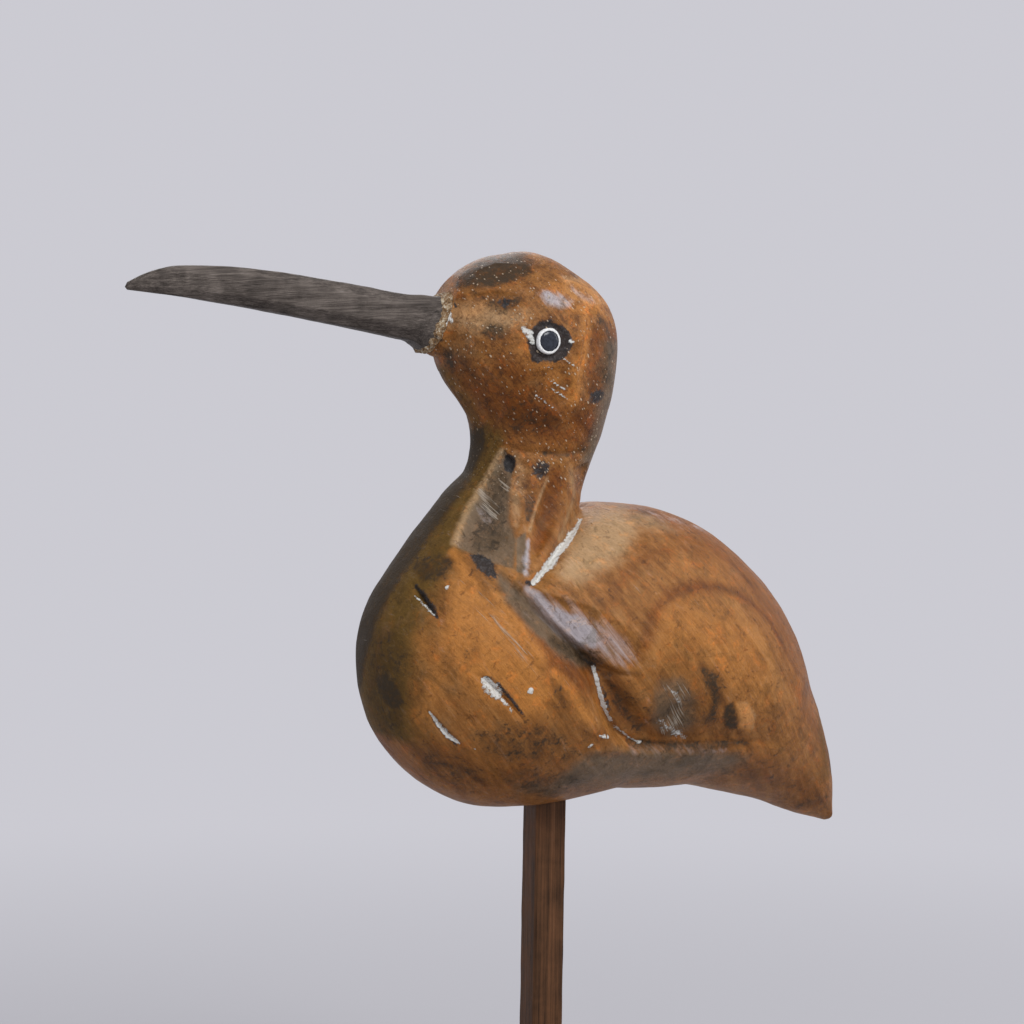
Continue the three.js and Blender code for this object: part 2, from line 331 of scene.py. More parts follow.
def onto_form(points, rounds=5):
    """Points moved along the form's slope until they lie on its skin, and their outward normals."""
    normals = slope_at(points, masses_field)
    for _ in range(rounds):
        points = points - STRIDE * (masses_field(points) + gouged(points))[:, None] * normals
    return points, slope_at(points, masses_field)


def slope_at(points, distance):
    """Unit directions in which a distance grows."""
    step = 0.05
    here = distance(points)
    return unit(np.stack([distance(points + step * axis) - here for axis in np.eye(3)], 1))


def ball_mesh(detail=4):
    """A unit ball as points and faces."""
    bm = bmesh.new()
    bmesh.ops.create_icosphere(bm, subdivisions=detail, radius=1)
    points = np.array([v.co for v in bm.verts])
    faces = np.array([[v.index for v in f.verts] for f in bm.faces])
    bm.free()
    return points, faces


def rough_skin(voxel):
    """An even mesh close to the form: the union of the swept masses' spheroids."""
    ball, faces = ball_mesh()
    rows = np.vstack(list(MASSES.values()))
    points = [ball * [r, w, r] + [x, 0, z] for x, z, r, w in rows]
    faces = [faces + i * len(ball) for i in range(len(rows))]
    mesh = bpy.data.meshes.new("rough")
    mesh.from_pydata(np.vstack(points).tolist(), [], np.vstack(faces).tolist())
    piece = linked("rough", mesh)
    remesh = piece.modifiers.new("remesh", "REMESH")
    remesh.mode = "VOXEL"
    remesh.voxel_size = voxel
    found = piece.evaluated_get(bpy.context.evaluated_depsgraph_get()).to_mesh()
    result = arrays(found)
    bpy.data.objects.remove(piece)
    bpy.data.meshes.remove(mesh)
    return result


def cut(bm, place, way, **clear):
    """Cuts a bmesh along a plane."""
    everything = bm.verts[:] + bm.edges[:] + bm.faces[:]
    bmesh.ops.bisect_plane(bm, geom=everything, plane_co=place, plane_no=way, **clear)


def cut_joint_face(bm):
    """Cuts the face flat where the bill butts on it."""
    cut(bm, Vector(JOINT + GAP * INTO_FACE), Vector(-INTO_FACE), clear_outer=True)
    bmesh.ops.holes_fill(bm, edges=[e for e in bm.edges if e.is_boundary])


def packed(points, faces, levels=None):
    """A bmesh of points and faces, with layers of named levels at its points."""
    bm = bmesh.new()
    layers = {name: bm.verts.layers.float.new(name) for name in levels or ()}
    verts = [bm.verts.new(p) for p in points]
    for name, level in (levels or {}).items():
        for vert, value in zip(verts, level):
            vert[layers[name]] = value
    for f in faces:
        bm.faces.new([verts[i] for i in f])
    return bm


def refined(points, faces, wanted):
    """Splits each face that has a wanted point into four."""
    bm = packed(points, faces)
    bm.verts.index_update()
    edges = {e for f in bm.faces if any(wanted[v.index] for v in f.verts) for e in f.edges}
    bmesh.ops.subdivide_edges(bm, edges=list(edges), cuts=1, use_grid_fill=True)
    return unpacked(bm)


def unpacked(bm):
    """A bmesh's points and faces, and the bmesh is freed."""
    bm.verts.index_update()
    points = np.array([v.co for v in bm.verts])
    faces = [[v.index for v in f.verts] for f in bm.faces]
    bm.free()
    return points, faces


# Marks on the skin, placed by pixels of the photograph


class Skin:
    """The carving's surface, on which pixels of the photograph are found."""

    def __init__(self, points, faces):
        self.tree = BVHTree.FromPolygons(points.tolist(), faces)

    def at(self, pixel, side):
        """The surface point behind a pixel, on the left side, or on the right as its mirror image."""
        across, down = (np.array(pixel) - PICTURE / 2) / FOCAL
        way = across * ACROSS - down * UP - BACK
        origin = EYE_POINT - LIFT
        flip = np.array([1, -side, 1])
        spot = self.tree.ray_cast(Vector(origin * flip), Vector(way * flip))[0]
        return None if spot is None else np.array(spot)

    def line(self, rows, side, step=6, curved=True):
        """A line of [px, py, values...] laid on the surface, with points about a step of pixels apart."""
        laid = []
        rows = np.array(rows, float)
        if len(rows) > 1:
            lengths = np.hypot(*np.diff(rows[:, :2], axis=0).T)
            steps = int(np.clip(lengths.mean() / step, 1, 12))
            if curved:
                rows = through(rows, steps)
            else:
                parts = [np.linspace(a, b, steps, endpoint=False) for a, b in zip(rows, rows[1:])]
                rows = np.vstack(parts)
        for row in rows:
            spot = self.at(row[:2], side)
            if spot is not None:
                laid.append([*spot, *row[2:]])
        return np.array(laid)


def near_line(line, points, normals, reach):
    """Which points lie within reach of a line, how far each is along the skin, whether it is on the left of
    the line's run, and the line's own values beside it."""
    low, high = line[:, :3].min(0) - reach, line[:, :3].max(0) + reach
    near = np.nonzero(np.all((points > low) & (points < high), axis=1))[0]
    p, n = points[near], normals[near]
    best = np.full(len(near), np.inf)
    left = np.zeros(len(near), bool)
    values = np.zeros((len(near), line.shape[1] - 3))
    if len(line) == 1:
        line = np.vstack([line, line])
    for a, b in zip(line, line[1:]):
        run = b[:3] - a[:3]
        t = np.clip((p - a[:3]) @ run / max(run @ run, TINY), 0, 1)
        off = p - a[:3] - t[:, None] * run
        deep = (off * n).sum(1)
        away = np.where(np.abs(deep) < reach, np.linalg.norm(off - deep[:, None] * n, axis=1), np.inf)
        closer = away < best
        best = np.where(closer, away, best)
        left = np.where(closer, (np.cross(n, run) * off).sum(1) > 0, left)
        values = np.where(closer[:, None], a[3:] + t[:, None] * (b[3:] - a[3:]), values)
    return near, best, left, values


def to_pixels(points):
    """Where points of the carving's frame fall in the photograph."""
    away = points + LIFT - EYE_POINT
    depth = -(away @ BACK)
    return np.stack([away @ ACROSS, -(away @ UP)], 1) / depth[:, None] * FOCAL + PICTURE / 2


def inside(outline, pixels):
    """How many pixels each place lies inside a closed outline, negative outside."""
    corners = np.array(outline, float)
    away = np.full(len(pixels), np.inf)
    within = np.zeros(len(pixels), bool)
    x, y = pixels.T
    for (ax, ay), (bx, by) in zip(corners, np.roll(corners, -1, axis=0)):
        run_x, run_y = bx - ax, by - ay
        t = np.clip(((x - ax) * run_x + (y - ay) * run_y) / max(run_x**2 + run_y**2, TINY), 0, 1)
        away = np.minimum(away, np.hypot(x - ax - t * run_x, y - ay - t * run_y))
        crosses = (ay > y) != (by > y)
        at = ax + (y - ay) * run_x / (run_y if run_y else TINY)
        within ^= crosses & (x < at)
    return np.where(within, away, -away)


def seen_from(points, normals, side):
    """Pixels of the points of one side, in its own mirrored photograph, and how squarely each faces it."""
    flip = np.array([1, -side, 1])
    sight = unit(EYE_POINT - LIFT - points * flip)
    return to_pixels(points * flip), (sight * normals * flip).sum(1)


# Carved detail on the left side: strokes along pixels of the photograph, as rows of
# [px, py, depth, left wall, right wall] in millimetres. A negative depth stands up.
LEFT_CUTS = {
    "neck_scoop": ("scoop", [
        [557, 474, 0.3, 3.6, 3.6], [554, 496, 1.2, 4.0, 4.0], [546, 522, 1.4, 3.2, 4.0],
        [535, 552, 0.8, 1.6, 2.6],
    ]),
    "neck_inset": ("scoop", [
        [531, 492, 0.3, 2.0, 1.8], [531, 508, 0.7, 2.2, 1.8], [529, 522, 0.3, 1.6, 1.4],
    ]),
    "nape_crack": ("crease", [
        [581, 516, 0.5, 1.6, 1.6], [566, 541, 1.0, 1.8, 1.8], [549, 564, 1.0, 1.8, 1.8],
        [533, 582, 1.4, 1.6, 1.6],
    ]),
    "breast_edge": ("crease", [
        [453, 550, -0.4, 1.4, 3.4], [474, 568, -0.9, 1.8, 4], [490, 588, -1.1, 2.4, 5],
        [511, 615, -1.0, 2.4, 5], [532, 644, -0.8, 2.4, 5], [546, 670, 0, 2.4, 5],
    ]),
    "valley": ("round", [
        [500, 578, 0.4, 4, 3], [526, 604, 1.2, 5, 4], [556, 636, 1.5, 6, 4.4], [584, 662, 1.0, 6, 5],
        [600, 676, 0.3, 4, 4],
    ]),
    "ridge_undercut": ("crease", [
        [552, 622, 0.4, 0.8, 3], [580, 647, 1.5, 0.9, 4.4], [600, 664, 1.9, 0.9, 5],
        [622, 674, 1.3, 0.9, 4.4], [644, 676, 0, 1.2, 4],
    ]),
    "groove_line": ("crease", [
        [592, 664, 0.4, 1, 1.4], [599, 688, 1.0, 1.1, 2.4], [605, 710, 1.1, 1.1, 2.8],
        [617, 730, 0.9, 1.1, 2.4], [634, 741, 0.2, 1, 1.4],
    ]),
    "hollow": ("round", [
        [612, 676, 0.8, 3, 4], [622, 700, 1.7, 4.4, 6], [636, 722, 1.5, 4.4, 6], [652, 734, 0.4, 3, 4],
    ]),
    "wing_rough": ("round", [[652, 724, 0.6, 4, 5], [678, 714, 1.1, 6, 6], [706, 700, 0.6, 5, 5]]),
    "wing_knot": ("round", [[738, 716, -0.8, 4.4, 4.4], [744, 722, -0.8, 4.4, 4.4]]),
    "slit_high": ("crease", [
        [412, 584, 0.4, 1, 1.2], [419, 594, 2.0, 1.6, 2.6], [428, 606, 2.1, 1.6, 2.6],
        [437, 618, 0.4, 1, 1.2],
    ]),
    "slit_middle": ("crease", [
        [481, 676, 0.6, 1.2, 1.4], [494, 688, 1.9, 2.2, 2.0], [508, 702, 1.7, 1.6, 1.8],
        [524, 721, 0.4, 1, 1.2],
    ]),
    "slit_low": ("crease", [
        [428, 712, 0.5, 1, 1.2], [440, 726, 1.5, 1.2, 1.8], [451, 737, 1.2, 1.0, 1.5],
        [461, 745, 0.3, 0.8, 1],
    ]),
    "throat_line": ("crease", [
        [500, 446, 0.4, 2.4, 2.6], [530, 452, 0.8, 2.6, 2.4], [560, 454, 0.8, 2.6, 2.4],
        [588, 450, 0.3, 2.4, 2.4],
    ]),
    "brow": ("round", [[470, 300, 0.2, 4, 6], [500, 300, 0.5, 5, 8], [530, 304, 0.4, 5, 8]]),
    "belly_edge": ("crease", [
        [590, 752, -0.3, 4, 4], [640, 748, -0.9, 4, 5], [700, 744, -1.0, 4, 5], [750, 744, -0.4, 4, 4],
    ]),
    "streak_cut": ("crease", [
        [466, 590, 0.1, 0.8, 0.8], [492, 622, 0.35, 0.9, 0.9], [520, 658, 0.1, 0.8, 0.8],
    ]),
}

# Flat knife cuts on the left side: (depth below the rim in mm, outline in pixels of the photograph)
LEFT_FACETS = {
    "neck_side": (0.35, [
        (503, 448), (516, 461), (509, 494), (510, 522), (516, 536), (516, 569), (496, 566), (474, 554),
        (453, 546), (464, 515), (480, 490),
    ]),
    "neck_strip": (0.15, [
        (517, 458), (530, 464), (525, 492), (524, 524), (518, 533), (511, 520), (510, 494),
    ]),
    "neck_channel": (0.5, [(517, 536), (526, 530), (527, 556), (525, 576), (517, 572)]),
    "neck_middle": (0.2, [(533, 464), (550, 474), (539, 500), (531, 528), (528, 520), (538, 496)]),
    "neck_rear": (0.3, [
        (570, 468), (590, 462), (584, 498), (578, 520), (560, 545), (548, 560), (562, 520),
    ]),
    "shoulder": (0.15, [
        (524, 583), (545, 592), (572, 600), (604, 610), (632, 628), (648, 648), (646, 666), (636, 671),
        (614, 667), (598, 657), (580, 642), (562, 625), (544, 607),
    ]),
    "temple": (0.2, [(588, 316), (604, 326), (610, 350), (608, 378), (594, 402), (574, 404), (580, 362)]),
    "cheek": (0.2, [(536, 372), (560, 366), (578, 366), (572, 400), (556, 412), (530, 404)]),
    "forehead": (0.15, [
        (462, 296), (490, 288), (524, 292), (534, 312), (520, 328), (486, 330), (460, 320),
    ]),
    "jaw": (0.25, [(452, 372), (484, 366), (506, 384), (508, 412), (492, 428), (474, 414)]),
    "crown_front": (0.15, [(468, 272), (496, 262), (528, 264), (544, 280), (520, 290), (480, 288)]),
    "crown_rear": (0.15, [(548, 282), (576, 282), (600, 300), (602, 316), (574, 314), (552, 304)]),
}

# Stains, filler, painted sheen and painted shade on the left side, by kind: [strength, (px, py, reach in mm),
# ...]
LEFT_MARKS = {
    "filler": [
        [1, (581, 517, 0.5), (574, 531, 0.9), (567, 542, 1.1)],
        [1, (566, 543, 1.3), (557, 553, 1.1), (549, 565, 1.5), (543, 571, 0.9), (534, 581, 0.9)],
        [1, (484, 680, 1.1), (490, 686, 2.0), (498, 695, 1.4)],
        [0.7, (502, 700, 0.7), (512, 711, 0.5)],
        [0.9, (429, 713, 0.4), (437, 725, 0.5), (447, 736, 0.7), (459, 744, 0.4)],
        [0.6, (414, 595, 0.3), (424, 605, 0.5), (433, 614, 0.4)],
        [1, (596, 667, 0.4), (599, 684, 0.55), (605, 707, 0.45), (613, 724, 0.3)],
        [0.7, (614, 726, 0.5), (628, 737, 0.5), (640, 741, 0.4)],
        [1, (531, 691, 0.9)],
        [0.8, (590, 747, 0.6), (592, 745, 0.5)],
        [0.7, (600, 736, 0.4), (609, 738, 0.5)],
        [0.7, (475, 749, 0.5)],
        [0.8, (447, 587, 0.6)],
        [0.85, (524, 329, 0.9), (530, 334, 1.5), (533, 342, 0.8)],
        [0.7, (570, 341, 0.5), (574, 342, 0.4)],
        [0.75, (563, 358, 0.25), (575, 366, 0.3)],
        [0.75, (549, 380, 0.25), (566, 390, 0.35)],
        [0.7, (552, 389, 0.25), (569, 400, 0.3)],
        [0.65, (536, 396, 0.25), (560, 413, 0.3)],
        [0.6, (545, 366, 0.2), (556, 371, 0.3)],
        [0.7, (447, 310, 0.9), (451, 322, 0.6)],
        [0.8, (437, 292, 0.8), (446, 294, 1.1), (453, 298, 0.6)],
        [0.8, (449, 303, 0.7), (446, 318, 1.4), (440, 328, 0.9)],
        [1, (435, 329, 0.8), (432, 338, 1.3), (428, 347, 0.9)],
        [0.45, (673, 692, 1.0), (680, 702, 1.4)],
        [0.5, (660, 722, 1.2), (672, 731, 1.8), (684, 737, 1.2)],
    ],
    "black": [
        [0.9, (440, 331, 0.9), (441, 341, 0.7)],
        [1, (450, 299, 0.5), (455, 305, 0.6)],
        # painted shade in the dark hole at the end of the nape crack
        [1, (528, 581, 0.9), (533, 583, 0.8)],
        [0.9, (482, 677, 0.6), (492, 679, 0.7), (501, 688, 0.7), (514, 703, 0.7), (524, 717, 0.5)],
        [0.9, (415, 585, 0.6), (423, 595, 1.2), (431, 607, 1.3), (437, 618, 0.6)],
        [0.8, (431, 719, 0.4), (443, 733, 0.6), (457, 746, 0.5)],
        # painted shade along the groove and at its top
        [0.7, (597, 672, 0.5), (604, 690, 0.6), (612, 712, 0.7)],
        [0.6, (590, 660, 1.2), (602, 668, 1.4)],
    ],
    "dark": [
        [0.6, (474, 292, 1.6), (484, 296, 1.6)],
        [0.8, (492, 300, 2), (504, 304, 3), (516, 298, 2)],
        [0.5, (488, 324, 2), (502, 328, 2.4)],
        [0.8, (602, 318, 2), (609, 332, 2.4), (612, 348, 2)],
        [0.5, (606, 362, 3), (602, 388, 3)],
        [0.5, (498, 360, 2), (508, 392, 3), (520, 414, 3), (546, 430, 2.4)],
        [0.5, (455, 352, 3), (470, 378, 4), (488, 412, 3)],
        [0.35, (470, 336, 3), (486, 352, 3)],
        [0.8, (544, 453, 0.8), (566, 455, 1.2), (586, 451, 1.2)],
        # darker under the breast and along the belly: mottled stain, partly painted shade
        [0.5, (556, 738, 2.4), (574, 746, 3.4), (588, 740, 2)],
        [0.5, (464, 786, 2.4), (480, 792, 2)],
        [0.5, (500, 780, 3), (536, 786, 3)],
        [0.5, (470, 560, 2), (482, 580, 3), (500, 590, 2)],
        # painted shade in the valley under the shoulder ridge and in the hollow behind the groove
        [0.8, (556, 642, 2.6), (578, 656, 3.6), (594, 664, 2.6)],
        [0.7, (608, 676, 2), (618, 696, 4), (630, 718, 4), (642, 732, 2.4)],
        [0.5, (660, 684, 4), (684, 690, 6), (700, 712, 6), (690, 730, 4)],
        [0.8, (702, 668, 2.4), (716, 684, 3.4), (718, 702, 2)],
        [0.6, (688, 706, 2.4), (694, 726, 2.6)],
        # painted shade in the crease under the wing's edge
        [0.8, (628, 740, 1.2), (660, 743, 1.7), (700, 744, 1.6), (748, 742, 1.3)],
        [0.45, (640, 640, 2), (650, 620, 3), (642, 605, 2)],
        [0.6, (812, 672, 2.4), (824, 720, 2.4), (831, 770, 2.4)],
        [0.6, (800, 806, 3), (822, 800, 5), (832, 812, 3)],
        # darker under the tail: stain, partly painted shade
        [0.45, (700, 770, 6), (752, 776, 7), (800, 786, 6)],
        [0.8, (479, 520, 1.6), (484, 534, 2), (500, 530, 1.6)],
        [0.55, (664, 604, 0.6), (682, 593, 0.9), (712, 586, 1.1), (745, 597, 1.1), (773, 624, 0.8)],
        [0.35, (640, 520, 0.8), (668, 532, 1.0), (696, 556, 0.8)],
        [0.35, (716, 640, 0.8), (738, 648, 0.8), (756, 668, 0.8)],
        [0.4, (600, 600, 3), (640, 596, 2.4)],
        # painted shade in the neck's inset and scoop
        [0.5, (532, 498, 1.6), (531, 514, 1.8)],
        [0.4, (556, 480, 2), (552, 505, 2.4), (542, 535, 2)],
    ],
    # deep: painted shade under the cheek, in the neck's scoop, along the belly, in the hollow and under the
    # tail; a darker tone on the wing, the temple and the tail's rear
    "deep": [
        [
            0.9, (646, 646, 2), (660, 606, 2), (690, 587, 2.2), (730, 590, 2.4), (765, 614, 2.2),
            (786, 652, 1.6),
        ],
        [0.5, (610, 600, 3), (640, 560, 3), (690, 548, 3), (740, 560, 3)],
        [1, (452, 366, 4), (470, 384, 5), (490, 400, 7), (520, 408, 8), (552, 424, 7), (580, 424, 5)],
        [0.8, (500, 368, 4), (520, 376, 4)],
        [0.8, (604, 330, 3), (608, 360, 4), (600, 395, 5), (588, 430, 4)],
        [1, (557, 476, 2.6), (551, 508, 3), (539, 545, 2)],
        [
            0.4, (372, 640, 5), (368, 690, 6), (385, 735, 7), (420, 768, 8), (470, 784, 8), (530, 790, 8),
            (560, 776, 6),
        ],
        [0.6, (612, 680, 2.6), (622, 705, 3.6), (638, 722, 4), (664, 735, 3)],
        [0.45, (700, 762, 6), (745, 768, 8), (790, 780, 8), (815, 795, 7), (828, 812, 4)],
        [0.6, (815, 690, 5), (822, 730, 5), (826, 770, 5)],
    ],
    "scrape": [
        [1, (480, 490, 1.4), (486, 502, 2.2), (496, 514, 1.4)],
        [0.9, (500, 478, 1), (508, 488, 1)],
        [0.5, (478, 596, 2), (500, 626, 3), (524, 656, 2)],
        [0.8, (668, 688, 2), (680, 700, 3), (678, 722, 4), (662, 732, 2)],
    ],
    "olive": [
        [0.5, (806, 660, 5), (820, 715, 5), (828, 770, 5)],
    ],
    "tan": [
        [0.6, (618, 520, 5), (650, 520, 6)],
        [0.5, (517, 458, 1.6), (519, 478, 2.2), (516, 500, 2), (517, 524, 1)],
        [0.9, (501, 451, 1), (483, 484, 1.4), (466, 514, 1.4), (455, 541, 1.4)],
        [0.5, (572, 474, 2), (576, 500, 2), (562, 536, 1.4)],
        [0.6, (548, 478, 0.6), (538, 504, 0.7), (530, 530, 0.6)],
    ],
    "orange": [
        [1, (590, 310, 2.2), (585, 350, 2.6), (573, 400, 2.2)],
        [1, (452, 552, 1.4), (471, 578, 1.6), (497, 605, 2), (519, 628, 2.6), (538, 658, 3)],
        [0.6, (462, 590, 5), (484, 622, 8), (506, 660, 8), (540, 700, 6)],
        [0.8, (556, 674, 1.6), (570, 692, 2), (584, 714, 2), (594, 724, 1)],
        [0.4, (450, 312, 3), (476, 310, 3)],
        [0.5, (596, 700, 2), (606, 724, 2)],
        [0.5, (420, 640, 3), (440, 672, 4), (420, 720, 4)],
        [0.5, (520, 340, 4), (560, 380, 4)],
    ],
    "grey": [
        [0.5, (530, 790, 6), (590, 786, 6), (640, 780, 5)],
        [0.5, (664, 720, 3), (680, 700, 3)],
        [0.4, (468, 348, 3), (440, 360, 3)],
    ],
    # painted sheen: pale lilac highlights on the neck, the shoulder ridge, the crown, the wing's top and
    # below the wing's edge
    "painted_sheen": [
        [0.9, (529, 540, 0.8), (527, 560, 1), (526, 574, 1)],
        [1, (528, 588, 1.2), (545, 603, 2.2), (565, 618, 3), (585, 636, 3)],
        [0.5, (576, 288, 1.4), (594, 300, 1.4)],
        [0.3, (632, 748, 1.4), (670, 749, 1.8), (724, 750, 1.2)],
        [0.35, (650, 512, 3), (700, 528, 4)],
        [0.4, (486, 518, 2), (480, 508, 2)],
    ],
}
MARK_KINDS = tuple(LEFT_MARKS)

# Patches on the left side, by kind: (strength, how many mm its edge takes to fade, outline in pixels)
LEFT_PATCHES = {
    "black": [
        (1, 1.5, [(504, 453), (515, 456), (516, 465), (511, 473), (504, 470), (502, 461)]),
        (0.8, 2.0, [(531, 462), (545, 460), (551, 465), (547, 476), (539, 478), (531, 472)]),
        (0.95, 2.2, [(470, 554), (481, 552), (491, 557), (496, 566), (497, 578), (485, 575), (476, 568)]),
        (1, 0.9, [
            (532, 334), (539, 323), (550, 321), (562, 325), (571, 333), (573, 345), (568, 356), (556, 363),
            (544, 360), (538, 364), (531, 361), (530, 353), (534, 346),
        ]),
        (0.75, 1.8, [(494, 299), (504, 294), (513, 296), (512, 303), (503, 306)]),
        (0.85, 1.8, [(589, 404), (592, 396), (600, 389), (606, 392), (604, 400), (596, 405)]),
    ],
    "dark": [
        (0.66, 5, [(492, 478), (508, 472), (510, 500), (510, 540), (492, 556), (466, 546), (474, 516)]),
        (0.95, 4, [
            (450, 288), (462, 268), (486, 254), (520, 250), (536, 262), (526, 276), (500, 284), (476, 290),
        ]),
        (0.45, 3, [
            (428, 354), (442, 372), (458, 396), (472, 420), (480, 442), (468, 442), (454, 420), (438, 392),
            (418, 360),
        ]),
        # the left edge of the neck and breast, turned from the light: stain, partly painted shade
        (0.95, 3, [
            (466, 432), (484, 424), (486, 448), (470, 480), (448, 512), (424, 545), (398, 582), (378, 616),
            (366, 660), (358, 700), (330, 690), (340, 600), (396, 530), (436, 480),
        ]),
        (0.6, 3, [
            (596, 318), (612, 322), (618, 350), (614, 380), (600, 400), (590, 390), (602, 360), (604, 338),
        ]),
        (0.8, 3, [(484, 320), (504, 322), (508, 336), (492, 342), (478, 334)]),
        (0.85, 3, [(440, 352), (452, 350), (458, 366), (452, 376), (444, 366)]),
        (0.55, 4, [(500, 402), (530, 396), (556, 412), (560, 432), (530, 440), (504, 430)]),
        (0.7, 1.2, [(525, 493), (535, 491), (538, 500), (534, 513), (530, 523), (526, 520), (524, 508)]),
        # the breast's left edge: stain, partly painted shade
        (0.55, 6, [(366, 630), (396, 626), (408, 650), (404, 740), (384, 748), (362, 700)]),
        (0.9, 2.4, [(371, 676), (386, 672), (398, 684), (404, 704), (394, 712), (380, 702)]),
        # darker along the belly: mottled stain, partly painted shade
        (0.62, 8, [(470, 738), (500, 722), (536, 720), (572, 730), (580, 752), (530, 768), (492, 764)]),
        (0.6, 3, [(512, 730), (534, 724), (548, 738), (536, 752), (516, 748)]),
        (0.6, 3, [(552, 748), (578, 742), (584, 758), (560, 766)]),
        (0.5, 3, [(474, 742), (494, 740), (500, 756), (482, 762)]),
        (0.65, 9, [(404, 738), (440, 748), (480, 764), (500, 786), (460, 792), (424, 776)]),
        (0.65, 9, [(500, 770), (560, 766), (600, 772), (580, 794), (520, 800)]),
        (0.7, 4, [(408, 562), (440, 548), (458, 560), (446, 578), (420, 584)]),
        (0.5, 5, [(456, 650), (480, 640), (486, 664), (464, 672)]),
        (0.5, 5, [(540, 676), (566, 684), (580, 712), (556, 716)]),
        (0.8, 2.4, [(700, 666), (718, 672), (724, 700), (716, 722), (704, 726), (712, 700), (704, 684)]),
        (0.5, 3, [(648, 694), (684, 680), (704, 696), (700, 728), (666, 741), (646, 726)]),
        # painted shade on the knot's left half
        (0.9, 1.6, [(725, 706), (734, 701), (737, 712), (738, 728), (730, 732), (722, 720)]),
    ],
    "grey": [
        (0.85, 4, [
            (604, 340), (622, 340), (618, 390), (602, 440), (592, 472), (582, 466), (594, 424), (606, 384),
        ]),
        (0.85, 2, [
            (503, 450), (514, 462), (509, 494), (510, 522), (516, 538), (514, 568), (488, 562), (456, 546),
            (466, 516), (482, 490),
        ]),
        (1, 1, [(517, 538), (526, 532), (527, 556), (525, 574), (517, 570)]),
        (0.6, 4, [(656, 680), (682, 676), (698, 700), (694, 728), (670, 740), (650, 728)]),
        # painted shade in the valley below the shoulder ridge
        (1, 4, [
            (498, 574), (520, 588), (545, 612), (580, 645), (602, 664), (584, 668), (556, 650), (530, 628),
            (506, 600),
        ]),
        (0.9, 6, [
            (590, 754), (640, 752), (712, 752), (750, 758), (730, 772), (660, 780), (600, 784), (540, 796),
            (560, 776),
        ]),
    ],
    # painted sheen: the highlight on the crown and the lilac reflection along the shoulder ridge
    "painted_sheen": [
        (0.9, 3, [(538, 292), (552, 289), (566, 292), (577, 299), (574, 306), (560, 308), (546, 303)]),
        (0.55, 6, [
            (522, 582), (548, 594), (578, 606), (606, 620), (628, 640), (638, 658), (634, 670), (614, 667),
            (598, 657), (580, 642), (562, 625), (540, 604),
        ]),
        (1, 2, [
            (540, 596), (560, 604), (584, 614), (600, 630), (600, 650), (590, 648), (576, 636), (556, 618),
        ]),
    ],
    "olive": [
        (0.5, 3, [
            (430, 360), (446, 366), (470, 400), (488, 432), (480, 450), (460, 430), (440, 396), (420, 368),
        ]),
        # olive along the left edge of the neck and breast: stain, partly painted shade
        (1, 6, [
            (488, 424), (492, 446), (478, 490), (462, 514), (452, 548), (436, 584), (414, 614), (402, 664),
            (396, 726), (366, 736), (340, 680), (340, 600), (400, 510), (440, 470), (460, 430),
        ]),
    ],
    # deep: painted shade in the valley, along the belly and under the cheek; a darker tone on the wing's back
    # and the temple
    "deep": [
        (0.6, 9, [
            (590, 490), (660, 496), (740, 540), (800, 620), (840, 740), (830, 800), (806, 740), (774, 640),
            (720, 570), (650, 530),
        ]),
        (0.8, 4, [(590, 320), (620, 330), (622, 380), (604, 440), (580, 440), (590, 400)]),
        (0.8, 5, [(505, 585), (550, 615), (600, 668), (596, 700), (560, 680), (520, 640)]),
        (0.35, 8, [
            (350, 560), (400, 640), (420, 730), (480, 752), (560, 756), (600, 790), (560, 820), (400, 800),
            (340, 700),
        ]),
        (0.45, 6, [
            (442, 352), (480, 360), (530, 372), (572, 410), (600, 440), (560, 452), (500, 444), (460, 410),
        ]),
    ],
    "tan": [
        # painted highlight on the knot
        (1, 0.9, [(737, 703), (748, 703), (757, 716), (753, 730), (741, 727), (736, 714)]),
        # painted highlight beside the crown's sheen
        (1, 2.4, [(562, 276), (580, 278), (600, 292), (606, 304), (590, 306), (576, 298), (568, 288)]),
        (0.9, 9, [(586, 512), (620, 506), (640, 520), (626, 552), (596, 574), (566, 584), (560, 566)]),
        (0.6, 5, [(446, 300), (490, 304), (530, 310), (524, 330), (480, 336), (446, 326)]),
    ],
    "orange": [
        (0.45, 10, [(660, 600), (720, 596), (762, 630), (780, 690), (760, 720), (700, 660), (650, 650)]),
        # painted highlight beside the crown's sheen
        (0.9, 4, [(548, 280), (584, 278), (608, 298), (606, 318), (580, 312), (556, 306)]),
        (0.8, 6, [(460, 570), (500, 610), (540, 664), (560, 700), (520, 720), (470, 690), (440, 640)]),
        # painted highlight on the knot
        (1, 1.6, [(736, 702), (750, 704), (757, 720), (750, 732), (738, 728), (733, 714)]),
    ],
}

